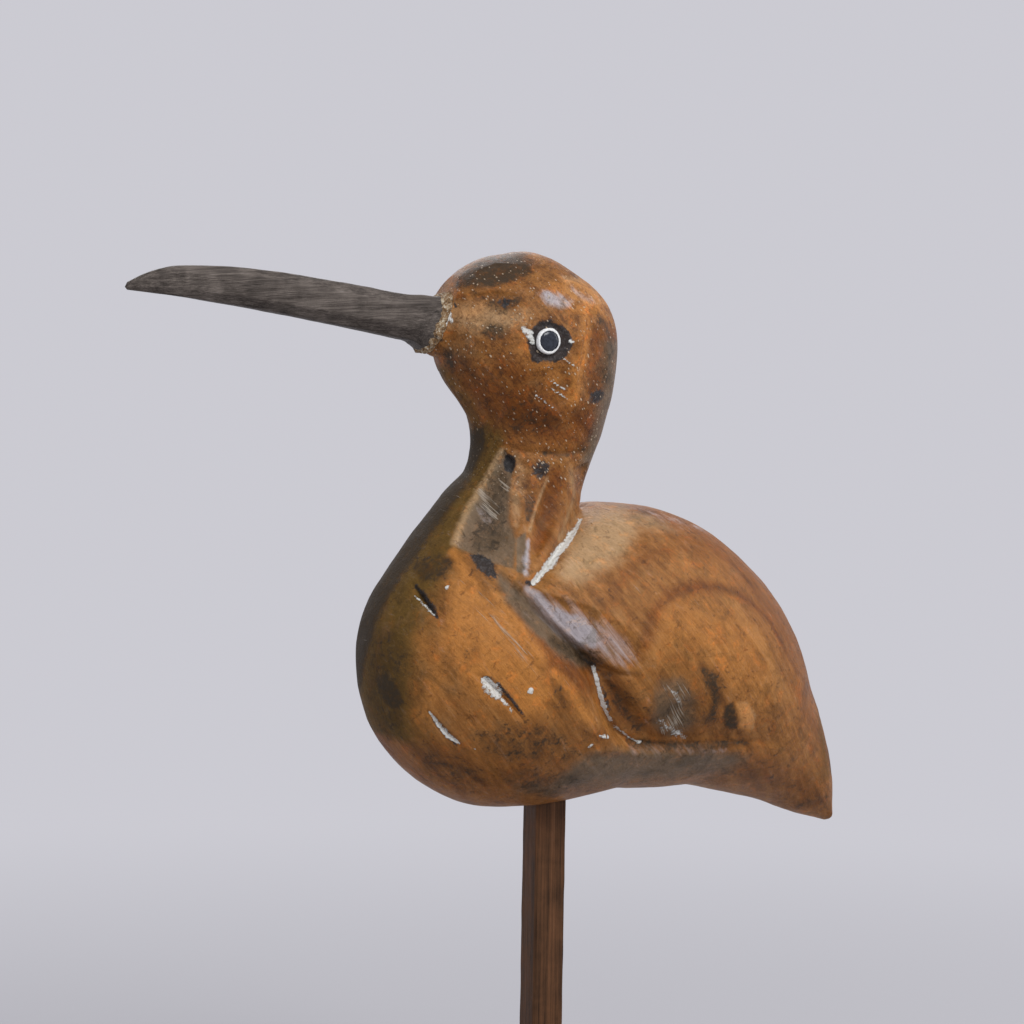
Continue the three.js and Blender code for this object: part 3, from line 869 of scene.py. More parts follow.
# The right side is out of sight: the same main cuts, with a few marks of its own
RIGHT_CUTS = {name: LEFT_CUTS[name] for name in (
    "neck_scoop", "breast_edge", "valley", "ridge_undercut", "groove_line", "hollow", "throat_line", "brow",
    "belly_edge", "nape_crack",
)}
RIGHT_FACETS = {name: LEFT_FACETS[name] for name in (
    "neck_side", "neck_rear", "shoulder", "temple", "forehead", "jaw", "crown_front", "crown_rear",
)}
RIGHT_MARKS = {
    "filler": [
        [1, (579, 521, 0.6), (566, 541, 1.1), (553, 559, 0.9), (544, 571, 0.5)],
        [1, (518, 646, 0.6), (524, 656, 1.5), (532, 670, 0.8)],
        [0.9, (600, 688, 0.4), (606, 708, 0.7), (620, 731, 0.5)],
        [0.8, (447, 300, 0.8), (444, 318, 1.4), (434, 342, 1)],
        [0.8, (470, 560, 0.6)],
        [0.8, (700, 650, 0.7)],
    ],
    "black": [
        [1, (518, 462, 1.2), (526, 470, 1.8)],
        [0.9, (600, 376, 1.6), (606, 390, 1.2)],
        [0.9, (516, 644, 0.8), (526, 654, 1), (534, 668, 0.8)],
        [0.8, (480, 350, 1.3)],
    ],
    "dark": [
        [0.8, (470, 276, 3), (500, 266, 4), (530, 270, 3)],
        [0.5, (450, 345, 3), (480, 400, 4)],
        [0.7, (420, 700, 5), (436, 740, 5)],
        [0.6, (480, 600, 4), (500, 640, 5)],
        [0.7, (600, 600, 5), (640, 612, 5)],
        # painted shade in the hollow and in the crease under the wing's edge
        [0.8, (612, 684, 3), (626, 710, 4), (642, 730, 3)],
        [0.8, (640, 743, 1.5), (700, 745, 1.6), (748, 743, 1.2)],
        [0.6, (800, 806, 4), (826, 806, 5)],
        [0.6, (690, 680, 5), (730, 694, 5)],
        [0.5, (680, 560, 0.9), (710, 575, 1.1), (744, 604, 0.9)],
        [0.5, (650, 600, 0.9), (692, 612, 1.1), (730, 650, 0.9)],
        # darker along the belly: stain, partly painted shade
        [0.6, (560, 760, 4), (610, 764, 5)],
    ],
    # deep: painted shade under the cheek, along the belly, in the hollow and under the tail
    "deep": [
        [1, (452, 366, 4), (475, 392, 6), (515, 408, 8), (560, 424, 7)],
        [1, (372, 650, 6), (385, 735, 7), (430, 772, 8), (500, 790, 9), (560, 776, 6)],
        [1, (616, 690, 3.6), (640, 724, 4)],
        [0.9, (700, 762, 6), (760, 772, 8), (815, 795, 7)],
    ],
    "scrape": [[0.8, (440, 600, 5), (500, 650, 7)]],
    "olive": [
        [0.6, (476, 440, 6), (440, 500, 8), (396, 556, 8)],
        [0.5, (806, 660, 5), (820, 715, 5), (828, 770, 5)],
    ],
    "tan": [[0.8, (620, 536, 7), (652, 556, 8)], [0.7, (506, 470, 2), (516, 510, 3)]],
    "orange": [
        [0.7, (556, 296, 6), (585, 318, 6)],
        [0.6, (450, 620, 8), (490, 660, 10), (530, 710, 8)],
        [0.6, (700, 640, 10), (740, 670, 10), (770, 710, 8)],
        [0.9, (452, 552, 1.4), (497, 605, 2), (538, 658, 3)],
    ],
    "grey": [[0.6, (496, 498, 5), (488, 540, 5)], [0.6, (612, 762, 5), (680, 762, 6)]],
    # painted sheen along the shoulder ridge
    "painted_sheen": [[0.8, (560, 608, 3), (592, 634, 4.4), (636, 660, 2)]],
}
# copies of the left side's last patches: the grey band under the wing, the painted sheen on the shoulder, the
# olive edge with its painted shade, the painted shade under the cheek and the painted highlight on the knot
RIGHT_PATCHES = {kind: LEFT_PATCHES[kind][-1:] for kind in ("grey", "painted_sheen", "olive", "deep", "orange")}


FACET_REACH = 40  # no flat knife cut is longer than this from its middle


def facets(skin, points, normals, cuts, side):
    """How far each point moves in so that it lies on the flat knife cuts."""
    move = np.zeros(len(points))
    pixels, facing = seen_from(points, normals, side)
    for depth, outline in cuts.values():
        rim = skin.line([*outline, outline[0]], side, 4, False)
        centre = rim.mean(0)
        flat = np.linalg.svd(rim - centre)[2][2]
        far = inside(outline, pixels) * PIXEL
        close = np.linalg.norm(points - centre, axis=1) < FACET_REACH
        near = np.nonzero((facing > 0) & (far > 0) & close)[0]
        flat = flat * np.sign((normals[near] @ flat).sum())
        above = np.clip((points[near] - centre) @ flat, 0, 3)
        move[near] -= above * smooth(0, 0.8, far[near]) + depth * smooth(0, 1.4, far[near])
    return move


def relief(skin, points, normals, cuts, side):
    """How far each point moves out along its normal for a table of cuts."""
    out = np.zeros(len(points))
    for shape, rows in cuts.values():
        line = skin.line(rows, side)
        if not len(line):
            continue
        reach = line[:, 4:6].max() + 0.5
        near, away, left, values = near_line(line, points, normals, reach)
        left = left if side == LEFT else ~left
        wall = np.where(left, values[:, 1], values[:, 2])
        s = np.clip(away / np.maximum(wall, 1e-3), 0, 1)
        out[near] -= values[:, 0] * PROFILES[shape](s)
    return out


VOXEL = 1.0  # mm between the skin's points before it is refined
SKIN_INSET = 0.12  # mm that keep the skin inside the solids
SOFT = 1.7  # a mark fades out at this many times its reach


def closeness(skin, points, normals, marks, side, patches=None):
    """For each kind of mark: its strength on its line or patch, falling to 0 around it."""
    found = {kind: np.zeros(len(points)) for kind in MARK_KINDS}
    pixels, facing = seen_from(points, normals, side)
    for kind, areas in (patches or {}).items():
        for strength, fade, outline in areas:
            level = strength * smooth(-0.6 * fade, 0.6 * fade, inside(outline, pixels) * PIXEL)
            found[kind] = np.maximum(found[kind], level * smooth(-0.55, 0.0, facing))
    for kind, touches in marks.items():
        for strength, *pixels in touches:
            line = skin.line(pixels, side)
            if not len(line):
                continue
            near, away, _, reach = near_line(line, points, normals, SOFT * line[:, 3].max())
            level = strength * np.clip(1 - away / (SOFT * reach[:, 0]), 0, 1)
            found[kind][near] = np.maximum(found[kind][near], level)
    return found


def knife_planes(points, count, size, seed):
    """Shallow flats left by the knife: 0 in the middle of each, 1 far from any."""
    centres = points[np.random.default_rng(seed).integers(0, len(points), count)]
    nearest = np.full(len(points), np.inf)
    for centre in centres:
        nearest = np.minimum(nearest, ((points - centre) ** 2).sum(1))
    return np.clip(nearest / size**2, 0, 1)


def lumps(points, scale, seed=0.0):
    """Smooth noise from -1 to 1 at each point."""
    shift = Vector((seed, 2 * seed, -seed))
    return np.array([noise.noise(Vector(p) * scale + shift) for p in points])


# How far round rims and eyes the mesh is finer, and how deep the painted flat round each eye lies, in mm
FINE_RIM = 0.9
FINE_EYE = 8
HOLLOW_DEPTH = 0.55


def finely_carved(skin, points, normals):
    """Which points lie on sharp cuts, rims of flats, filler or black paint, or round the eyes."""
    wanted = np.zeros(len(points), bool)
    for shape, rows in LEFT_CUTS.values():
        if shape != "round":
            line = skin.line(rows, LEFT)
            near, away, _, values = near_line(line, points, normals, line[:, 4:6].max() + 1)
            wanted[near[away < np.minimum(values[:, 1:].max(1), 3) + 0.6]] = True
    pixels, facing = seen_from(points, normals, LEFT)
    outlines = [outline for _, outline in LEFT_FACETS.values()]
    outlines += [outline for _, _, outline in LEFT_PATCHES["black"]]
    for outline in outlines:
        wanted |= (facing > 0) & (np.abs(inside(outline, pixels)) * PIXEL < FINE_RIM)
    for kind in ("filler", "black"):
        for _, *pixels in LEFT_MARKS[kind]:
            line = skin.line(pixels, LEFT)
            near, away, _, reach = near_line(line, points, normals, line[:, 3].max() + 1.2)
            wanted[near[away < reach[:, 0] + 1]] = True
    for side in SIDES:
        wanted |= np.linalg.norm(points - EYE * [1, side, 1], axis=1) < FINE_EYE
    return wanted


def bird_skin():
    """The carving's fine mesh with its mark levels."""
    points, faces = rough_skin(VOXEL)
    points, normals = onto_form(points)
    skin = Skin(points, faces)
    points, faces = refined(points, faces, finely_carved(skin, points, normals))
    points, normals = onto_form(points, 3)
    here = (skin, points, normals)

    marks = closeness(*here, LEFT_MARKS, LEFT, LEFT_PATCHES)
    for kind, level in closeness(*here, RIGHT_MARKS, RIGHT, RIGHT_PATCHES).items():
        marks[kind] = np.maximum(marks[kind], level)
    out = relief(*here, LEFT_CUTS, LEFT) + relief(*here, RIGHT_CUTS, RIGHT)
    out += facets(*here, LEFT_FACETS, LEFT) + facets(*here, RIGHT_FACETS, RIGHT)
    out += 0.25 * (knife_planes(points, 320, 8.0, 5) - 1)
    out += 0.10 * lumps(points, 0.12) + 0.05 * lumps(points, 0.5, 7)
    filled = smooth(0.30, 0.60, marks["filler"] + 0.30 * lumps(points, 0.7, 3))
    out += filled * (0.22 + 0.12 * lumps(points, 1.2, 11))
    for side in SIDES:
        away = np.linalg.norm(points - EYE * [1, side, 1], axis=1) + 0.7 * lumps(points, 0.4, 5)
        out -= HOLLOW_DEPTH * (1 - smooth(4.6, 6.4, away))
        marks["black"] = np.maximum(marks["black"], 1 - smooth(4.9, 7.4, away))
    bm = packed(points + (out - SKIN_INSET)[:, None] * normals, faces, marks)
    cut_joint_face(bm)
    return bm


# Materials


class Shader:
    """A material whose nodes are added in short calls. Sockets are given values or other nodes' outputs."""

    def __init__(self, name):
        self.material = bpy.data.materials.new(name)
        self.material.use_nodes = True
        self.tree = self.material.node_tree
        self.tree.nodes.clear()
        self.place = self.add("ShaderNodeTexCoord", "Object")

    def add(self, kind, output, inputs=None, **settings):
        node = self.tree.nodes.new(kind)
        for name, value in settings.items():
            setattr(node, name, value)
        for name, value in (inputs or {}).items():
            socket = node.inputs[name]
            if isinstance(value, bpy.types.NodeSocket):
                self.tree.links.new(value, socket)
            else:
                socket.default_value = value
        return node.outputs[output]

    def math(self, operation, a, b, c=0.0, clamp=False):
        return self.add("ShaderNodeMath", 0, {0: a, 1: b, 2: c}, operation=operation, use_clamp=clamp)

    def mul(self, a, b):
        return self.math("MULTIPLY", a, b)

    def mul_add(self, a, b, c, clamp=False):
        """a * b + c"""
        return self.math("MULTIPLY_ADD", a, b, c, clamp)

    def centred(self, value):
        """Noise from 0 to 1 moved to lie evenly round 0."""
        return self.math("SUBTRACT", value, 0.5)

    def scaled(self, vector, factor):
        return self.add("ShaderNodeVectorMath", 0, {0: vector, "Scale": factor}, operation="SCALE")

    def length(self, vector):
        return self.add("ShaderNodeVectorMath", "Value", {0: vector}, operation="LENGTH")

    def turned(self, vector, rotation=(0, 0, 0), scale=(1, 1, 1), location=(0, 0, 0)):
        inputs = {0: vector, "Rotation": rotation, "Scale": scale, "Location": location}
        return self.add("ShaderNodeMapping", 0, inputs)

    def noise(self, vector, scale, detail=4, roughness=0.55, distortion=0.0):
        inputs = {"Vector": vector, "Scale": scale, "Detail": detail, "Roughness": roughness}
        return self.add("ShaderNodeTexNoise", 0, {**inputs, "Distortion": distortion})

    def step(self, value, low, high):
        """0 below low, 1 above high, smooth between them."""
        inputs = {"Value": value, "From Min": low, "From Max": high}
        return self.add("ShaderNodeMapRange", 0, inputs, interpolation_type="SMOOTHSTEP")

    def mark(self, name):
        return self.add("ShaderNodeAttribute", "Fac", attribute_name=name)

    def mix(self, factor, a, b, blend="MIX"):
        a, b = ((*c, 1) if isinstance(c, tuple) else c for c in (a, b))
        return self.add("ShaderNodeMix", 2, {0: factor, 6: a, 7: b}, data_type="RGBA", blend_type=blend)

    def cover(self, color, level, strength, tint, blend="MIX"):
        """A colour with a tint laid over it."""
        return self.mix(self.mul(level, strength), color, tint, blend)

    def ramp(self, factor, stops):
        node = self.tree.nodes.new("ShaderNodeValToRGB")
        self.tree.links.new(factor, node.inputs[0])
        ramp = node.color_ramp
        while len(ramp.elements) < len(stops):
            ramp.elements.new(1)
        for element, (place, color) in zip(ramp.elements, stops):
            element.position = place
            element.color = (*color, 1)
        return node.outputs[0]

    def bump(self, height, distance):
        return self.add("ShaderNodeBump", 0, {"Height": height, "Distance": distance})

    def surface(self, color, roughness, normal, specular=0.5):
        inputs = {"Base Color": color, "Roughness": roughness, "Normal": normal}
        inputs["Specular IOR Level"] = specular
        self.add_output(self.add("ShaderNodeBsdfPrincipled", 0, inputs))
        return self.material

    def add_output(self, surface):
        node = self.tree.nodes.new("ShaderNodeOutputMaterial")
        self.tree.links.new(surface, node.inputs["Surface"])


# How the carving's wood lies: its fibres run down towards the tail
FIBRE_TURN = (0, -np.arctan2(0.64, -0.77), 0)
WHITE = (0.68, 0.68, 0.64)

# Broad tints: kind, tint and strength. The deep one darkens what it covers, and the others cover it. Deep is
# painted shade in the hollows, the valley, the neck's scoop, under the cheek and along the undersides, and a
# darker tone on the temple, the wing and the tail. Olive, tan, orange and grey are stains, with painted shade
# in the olive of the left edge and the grey of the valley, and painted highlight in the tan and orange beside
# the crown and on the knot.
STAINS = (
    ("deep", (0.70, 0.53, 0.27), 0.95),
    ("olive", (0.100, 0.057, 0.008), 0.90),
    ("tan", (0.44, 0.29, 0.15), 0.78),
    ("orange", (0.50, 0.200, 0.040), 0.75),
    ("grey", (0.165, 0.122, 0.078), 0.85),
)


def carved_wood():
    """Orange-brown wood under the stains, paint, filler, painted sheen and painted shade that the mesh's
    marks call for.
    """
    s = Shader("carved_wood")
    mm = s.scaled(s.place, 1 / MM)
    fibre = s.turned(mm, rotation=FIBRE_TURN)
    cloud = s.noise(mm, 0.045, 5, 0.6, 0.3)
    patch = s.noise(mm, 0.17, 7, 0.68, 0.5)
    blotch = s.noise(mm, 0.42, 8, 0.72, 0.6)
    ragged = s.noise(mm, 1.0, 6, 0.72)
    streak = s.noise(s.turned(fibre, scale=(1, 0.5, 0.06)), 0.55, 6, 0.65, 0.3)
    thread = s.noise(s.turned(fibre, scale=(1, 0.3, 0.04)), 2.2, 5, 0.65)
    high = s.step(s.add("ShaderNodeSeparateXYZ", "Z", {0: mm}), PERCH + 84, PERCH + 100)

    # growth rings round a slanting heart
    warp = s.add("ShaderNodeTexNoise", 1, {"Vector": mm, "Scale": 0.03, "Detail": 2.0})
    bent = s.scaled(warp, 16.0)
    shifted = s.add("ShaderNodeVectorMath", 0, {0: fibre, 1: bent}, operation="ADD")
    flat = s.turned(shifted, scale=(1, 1, 0.12), location=(14, -9, 0))
    radius = s.length(flat)
    ring = s.add("ShaderNodeTexNoise", 0, {"W": radius, "Scale": 0.3, "Detail": 4.0}, noise_dimensions="1D")

    tone = s.mul_add(cloud, 0.42, -0.22)
    tone = s.mul_add(patch, 0.50, tone)
    tone = s.mul_add(streak, 0.36, s.math("ADD", tone, -0.05))
    tone = s.mul_add(ring, 0.30, tone)
    tone = s.mul_add(thread, 0.14, tone)
    color = s.ramp(tone, [
        (0.32, (0.100, 0.034, 0.006)),
        (0.46, (0.190, 0.072, 0.013)),
        (0.58, (0.270, 0.108, 0.023)),
        (0.74, (0.350, 0.155, 0.040)),
    ])
    # the deep kind multiplies in painted shade and darker tone; the others lay their stains, some with
    # painted shade or highlight, over it
    for kind, tint, strength in STAINS:
        level = s.step(s.mul_add(s.mark(kind), 0.80, patch), 0.50, 1.20)
        blend = "MULTIPLY" if kind == "deep" else "MIX"
        color = s.cover(color, level, strength, tint, blend)
    # painted sheen: a pale lilac highlight laid into the colour where the marks call for it, with less
    # roughness there
    painted_sheen_level = s.step(s.mul_add(s.mark("painted_sheen"), 0.62, streak), 0.58, 1.10)
    color = s.cover(color, painted_sheen_level, 0.78, (0.43, 0.42, 0.455))

    # what every stain shares: smudges, streaks and specks, coarser on the head
    depth = s.mul_add(high, 0.9, 0.75)
    smudge = s.mul(s.centred(blotch), depth)
    smudge = s.mul_add(s.centred(thread), 0.55, smudge)
    smudge = s.mul_add(s.centred(ragged), 0.40, smudge)
    fine = s.mul(s.centred(s.noise(mm, 2.6, 4, 0.75)), high)
    smudge = s.mul_add(fine, 0.9, smudge)
    smudge = s.mul_add(s.centred(streak), 0.50, smudge)
    shade = s.math("ADD", smudge, 1.0)
    gray = s.add("ShaderNodeCombineXYZ", 0, {0: shade, 1: shade, 2: shade})
    color = s.mix(1.0, color, gray, "MULTIPLY")
    grime = s.step(s.noise(mm, 0.11, 8, 0.70, 0.8), 0.50, 0.66)
    color = s.cover(color, grime, 0.62, (0.50, 0.50, 0.42), "MULTIPLY")
    fleck = s.step(s.noise(mm, 0.95, 5, 0.7, 0.2), 0.50, 0.70)
    fleck = s.mul(fleck, s.mul_add(high, 0.60, 0.20))
    color = s.mix(fleck, color, (0.40, 0.31, 0.24), "MULTIPLY")
    mottle = s.step(s.mul_add(high, 0.06, blotch), 0.54, 0.66)
    color = s.cover(color, mottle, 0.72, (0.36, 0.31, 0.26), "MULTIPLY")
    glow = s.step(s.noise(mm, 0.26, 7, 0.72, 0.5), 0.52, 0.68)
    glow = s.mul(glow, s.mul_add(high, 0.35, 0.60))
    color = s.mix(glow, color, (1.60, 1.24, 0.88), "MULTIPLY")

    # the dark marks: stains and blotches, and painted shade in the valley, the hollow, the creases, the
    # neck's scoops, the knot's left half, along the belly and on the left edge
    dark_stain_and_shade = s.step(s.mul_add(s.mark("dark"), 0.45, patch), 0.54, 0.92)
    color = s.cover(color, dark_stain_and_shade, 0.75, (0.50, 0.44, 0.34), "MULTIPLY")
    uneven = s.mul_add(s.centred(ragged), 0.55, blotch)
    dark = s.step(s.mul_add(s.mark("dark"), 0.52, uneven), 0.68, 1.02)
    color = s.cover(color, dark, 0.90, (0.036, 0.024, 0.012))
    # black paint, black stains and dark cracks, and painted shade at the nape crack's end and along the
    # groove
    torn = s.mul_add(s.centred(ragged), 0.9, s.centred(blotch))
    black = s.step(s.mul_add(torn, 1.5, s.mark("black")), 0.28, 0.78)
    paint = s.mix(s.step(ragged, 0.48, 0.68), (0.013, 0.013, 0.014), (0.062, 0.060, 0.062))
    color = s.cover(color, black, 0.95, paint)

    # open pores, filled pale, mostly on the head
    stretched = s.turned(fibre, scale=(1, 0.8, 0.5))
    pore_from = s.add("ShaderNodeTexVoronoi", "Distance", {"Vector": stretched, "Scale": 1.25})
    pore_size = s.add("ShaderNodeTexVoronoi", "Color", {"Vector": stretched, "Scale": 1.25})
    pore_size = s.mul_add(pore_size, 0.54, -0.14)
    pore = s.step(s.math("SUBTRACT", pore_size, pore_from), 0.0, 0.07)
    where = s.step(s.noise(mm, 0.14, 3), 0.28, 0.46)
    pore = s.mul(pore, s.mul(where, s.mul_add(high, 0.92, 0.06)))
    pore = s.mul(pore, s.mul_add(s.mark("olive"), -0.75, 1.0))
    color = s.cover(color, pore, 0.75, (0.56, 0.44, 0.31))
    scrape = s.noise(s.turned(fibre, scale=(1, 0.05, 0.03)), 1.9, 3, 0.6)
    scrape = s.step(s.mul_add(s.mark("scrape"), 0.32, scrape), 0.70, 0.80)
    color = s.cover(color, scrape, 0.55, (0.46, 0.40, 0.32))
    filler = s.step(s.mul_add(torn, 1.3, s.mark("filler")), 0.34, 0.56)
    dusty = s.mix(s.step(ragged, 0.30, 0.52), (0.34, 0.30, 0.23), WHITE)
    color = s.cover(color, filler, 0.93, dusty)

    roughness = s.mul_add(patch, 0.35, 0.26)
    roughness = s.mul_add(filler, 0.40, roughness)
    roughness = s.mul_add(s.mark("olive"), 0.25, roughness)
    roughness = s.mul_add(painted_sheen_level, -0.12, roughness, clamp=True)
    height = s.mul_add(thread, 0.45, s.mul(blotch, 1.1))
    height = s.mul_add(ragged, 0.5, height)
    height = s.mul_add(pore, -0.6, height)
    height = s.mul_add(scrape, 0.4, height)
    height = s.mul_add(filler, 0.4, height)
    return s.surface(color, roughness, s.bump(height, 0.00032), 0.20)


def dark_wood(name, stops, across, grain_turn=(0, 0, 0)):
    """A dark stained wood with long fine streaks along its local Z after a turn."""
    s = Shader(name)
    mm = s.scaled(s.place, 1 / MM)
    fibre = s.turned(mm, rotation=grain_turn)
    streak = s.noise(s.turned(fibre, scale=(1, 1, 0.020)), across, 6, 0.65, 0.1)
    thread = s.noise(s.turned(fibre, scale=(1, 1, 0.012)), across * 4, 4, 0.7)
    patch = s.noise(mm, 0.12, 5, 0.6, 0.4)
    grit = s.noise(mm, 2.2, 4, 0.7)
    tone = s.mul_add(streak, 0.5, -0.22)
    tone = s.mul_add(thread, 0.55, tone)
    tone = s.mul_add(patch, 0.34, s.math("ADD", tone, 0.04))
    color = s.ramp(tone, stops)
    roughness = s.mul_add(patch, 0.35, 0.30)
    height = s.mul_add(streak, 0.5, s.mul(grit, 0.3))
    height = s.mul_add(thread, 0.6, height)
    return s.surface(color, roughness, s.bump(height, 0.00030), 0.10)


def bill_wood():
    """Dark grey-brown, with its grain along the bill."""
    stops = [
        (0.36, (0.021, 0.017, 0.014)),
        (0.50, (0.076, 0.063, 0.054)),
        (0.62, (0.145, 0.122, 0.105)),
        (0.78, (0.24, 0.208, 0.185)),
    ]
    return dark_wood("bill_wood", stops, 1.4, (0, np.radians(-86), 0))


def stand_wood(name, turn=(0, 0, 0)):
    """Dark red-brown, with its grain upright unless turned."""
    stops = [
        (0.36, (0.026, 0.013, 0.007)),
        (0.50, (0.080, 0.038, 0.018)),
        (0.64, (0.135, 0.060, 0.027)),
        (0.80, (0.21, 0.11, 0.06)),
    ]
    return dark_wood(name, stops, 0.5, turn)


def filler_paste():
    """Cream filler, dirty in its hollows and rubbed through to brown."""
    s = Shader("filler_paste")
    mm = s.scaled(s.place, 1 / MM)
    blotch = s.noise(mm, 0.5, 7, 0.72, 0.6)
    ragged = s.noise(mm, 1.3, 6, 0.72)
    color = s.ramp(blotch, [
        (0.38, (0.060, 0.040, 0.026)),
        (0.46, (0.200, 0.110, 0.045)),
        (0.54, (0.330, 0.230, 0.130)),
        (0.62, (0.620, 0.560, 0.420)),
    ])
    chalk = s.step(ragged, 0.54, 0.64)
    color = s.cover(color, chalk, 0.8, (0.60, 0.57, 0.48))
    crack = s.math("SUBTRACT", 1.0, s.step(ragged, 0.34, 0.42))
    color = s.cover(color, crack, 0.85, (0.030, 0.024, 0.020))
    height = s.mul_add(ragged, 1.0, blotch)
    return s.surface(color, 0.75, s.bump(height, 0.0005), 0.2)


def eye_paint(white):
    """Brushed white or glossy black paint."""
    s = Shader("eye_white" if white else "eye_black")
    mm = s.scaled(s.place, 1 / MM)
    smear = s.noise(mm, 1.6, 4, 0.6)
    if white:
        color = s.ramp(smear, [(0.30, (0.50, 0.50, 0.47)), (0.55, (0.80, 0.80, 0.78))])
        return s.surface(color, s.mul_add(smear, 0.3, 0.3), s.bump(smear, 0.00012))
    color = s.ramp(smear, [(0.35, (0.012, 0.014, 0.020)), (0.70, (0.030, 0.036, 0.050))])
    return s.surface(color, s.mul_add(smear, 0.12, 0.10), s.bump(smear, 0.00003), 0.4)


# The pieces


def carving():
    """The bird itself, in one piece of wood."""
    bm = bird_skin()
    mesh = bpy.data.meshes.new("carving")
    bmesh.ops.remove_doubles(bm, verts=bm.verts[:], dist=0.02)
    for v in bm.verts:
        v.co = (v.co + Vector(LIFT)) * MM
    bm.to_mesh(mesh)
    bm.free()
    shown(mesh, carved_wood(), "carved_wood", "carved_bird")


def ring_faces(rows, around):
    """Faces of a closed loft of rings, with a point before the first ring and one after the last."""
    faces = []
    for j in range(around):
        k = (j + 1) % around
        faces.append([0, 1 + k, 1 + j])
        for i in range(rows - 1):
            a, b = 1 + i * around, 1 + (i + 1) * around
            faces.append([a + j, a + k, b + k, b + j])
        last = 1 + (rows - 1) * around
        faces.append([last + j, last + k, 1 + rows * around])
    return faces


def bill():
    """The bill with whittled flats along it, from its joint face to its tip."""
    around = 72
    squareness = 4.0
    chamfer = 1.5
    rows = through(BILL, 18)
    turn = np.linspace(0, 2 * np.pi, around, endpoint=False)
    c, s = np.cos(turn), np.sin(turn)
    box = (np.abs(c) ** squareness + np.abs(s) ** squareness) ** (-1 / squareness)
    reach = np.minimum(box, chamfer / (np.abs(c) + np.abs(s)))
    rings = []
    for top_x, top_z, under_x, under_z, half in rows:
        middle = np.array([top_x + under_x, 0, top_z + under_z]) / 2
        rise = np.array([top_x - under_x, 0, top_z - under_z]) / 2
        ring = middle + (c * reach)[:, None] * rise
        ring[:, 1] = s * reach * half
        rings.append(ring)
    points = np.vstack(rings)
    centre = np.repeat([r.mean(0) for r in rings], around, axis=0)
    out = unit(points - centre)
    long = points * [0.10, 1, 1]
    depth = 0.14 * lumps(long, 0.55, 2) + 0.07 * lumps(long, 1.7, 4) - 0.12
    slim = smooth(-131, -112, points[:, 0])
    points = points + (depth * (0.25 + 0.75 * slim))[:, None] * out
    tip = [BILL[-1][0] - 0.8, 0, BILL[-1][3] + 0.8]
    points = np.vstack([[rings[0].mean(0)], points, [tip]])
    return new_piece("whittled_bill", points, ring_faces(len(rows), around), bill_wood(), "bill_wood", "bill")


def joint_filler(carrier):
    """A thin lumpy crust of filler on the bill's end, pressed into its joint with the face."""
    tree = BVHTree.FromObject(carrier, bpy.context.evaluated_depsgraph_get())
    around, across, far = 160, 21, 30.0
    rise = np.array([np.sin(LEAN), 0, np.cos(LEAN)])
    turn = np.linspace(0, 2 * np.pi, around, endpoint=False)
    out = np.cos(turn)[:, None] * rise + np.sin(turn)[:, None] * [0, 1, 0]
    spread = 1.5 + 1.5 * smooth(-0.9, 0.8, np.cos(turn)) + 1.1 * lumps(out * 3, 0.9, 17)
    rings = []
    for t in np.linspace(-1, 1, across):
        along = np.where(t < 0, t * spread, 1.1 * t)
        middle = JOINT + along[:, None] * INTO_FACE
        reach = []
        for centre, way in zip(JOINT + np.minimum(along, -0.4)[:, None] * INTO_FACE, out):
            start = Vector((centre + far * way + LIFT) * MM)
            reach.append(far - tree.ray_cast(start, Vector(-way), 1.4 * far * MM)[3] / MM)
        height = (0.62 + 0.50 * lumps(out * 3, 1.9, 23)) * (1 - t * t) - 0.20
        ring = middle + (np.array(reach) + height)[:, None] * out
        rings.append(ring + (0.30 * lumps(ring, 0.9, 29) + 0.12 * lumps(ring, 2.4, 31))[:, None] * out)
    for t in (1.1, -1.5):
        rings.append(JOINT + 3.5 * out + t * INTO_FACE)
    faces = []
    for i in range(len(rings)):
        for j in range(around):
            a, b = i * around, (i + 1) % len(rings) * around
            k = (j + 1) % around
            faces.append([a + j, a + k, b + k, b + j])
    new_piece("joint_filler", np.vstack(rings), faces, filler_paste(), "carved_wood")


def eye(name, node, side):
    """A domed pupil in a raised ring of white paint."""
    around = 64
    sunk, top = -1.6, 0.83
    profile = [(EYE_RADIUS - 0.35, sunk), (EYE_RADIUS - 0.1, -0.6)]
    profile += [(EYE_RADIUS - 0.1, 0.0), (EYE_RADIUS - 0.22, 0.12)]
    ring_bend, dome_bend = np.linspace(0.2, np.pi - 0.4, 9), np.linspace(0.05, 1.45, 12)
    profile += [(3.24 + 0.40 * np.cos(a), 0.22 + 0.24 * np.sin(a)) for a in ring_bend]
    profile += [(PUPIL_RADIUS * np.cos(a), 0.20 + 0.62 * np.sin(a)) for a in dome_bend]
    turn = np.linspace(0, 2 * np.pi, around, endpoint=False)
    uneven = 1 + 0.02 * np.sin(2 * turn + 0.6) + 0.012 * np.sin(5 * turn + 2)
    rings = []
    for r, h in profile:
        wide, tall = 0.95 * r * uneven * np.cos(turn), r * uneven * np.sin(turn)
        rings.append(np.stack([wide, np.full(around, h), tall], 1))
    points = np.vstack([[[0, sunk, 0]], *rings, [[0, top, 0]]])
    seat = EYE * [1, side, 1]
    faces = ring_faces(len(profile), around)
    if side == RIGHT:
        faces = [f[::-1] for f in faces]
    piece = new_piece(name, points * [1, side, 1] + seat, faces, eye_paint(True), "eye_bead", node)
    piece.data.materials.append(eye_paint(False))
    for polygon in piece.data.polygons:
        middle = np.array(polygon.center) / MM - LIFT - seat
        on_dome = np.hypot(middle[0], middle[2]) < PUPIL_RADIUS + 0.12
        polygon.material_index = int(on_dome and side * middle[1] > 0)


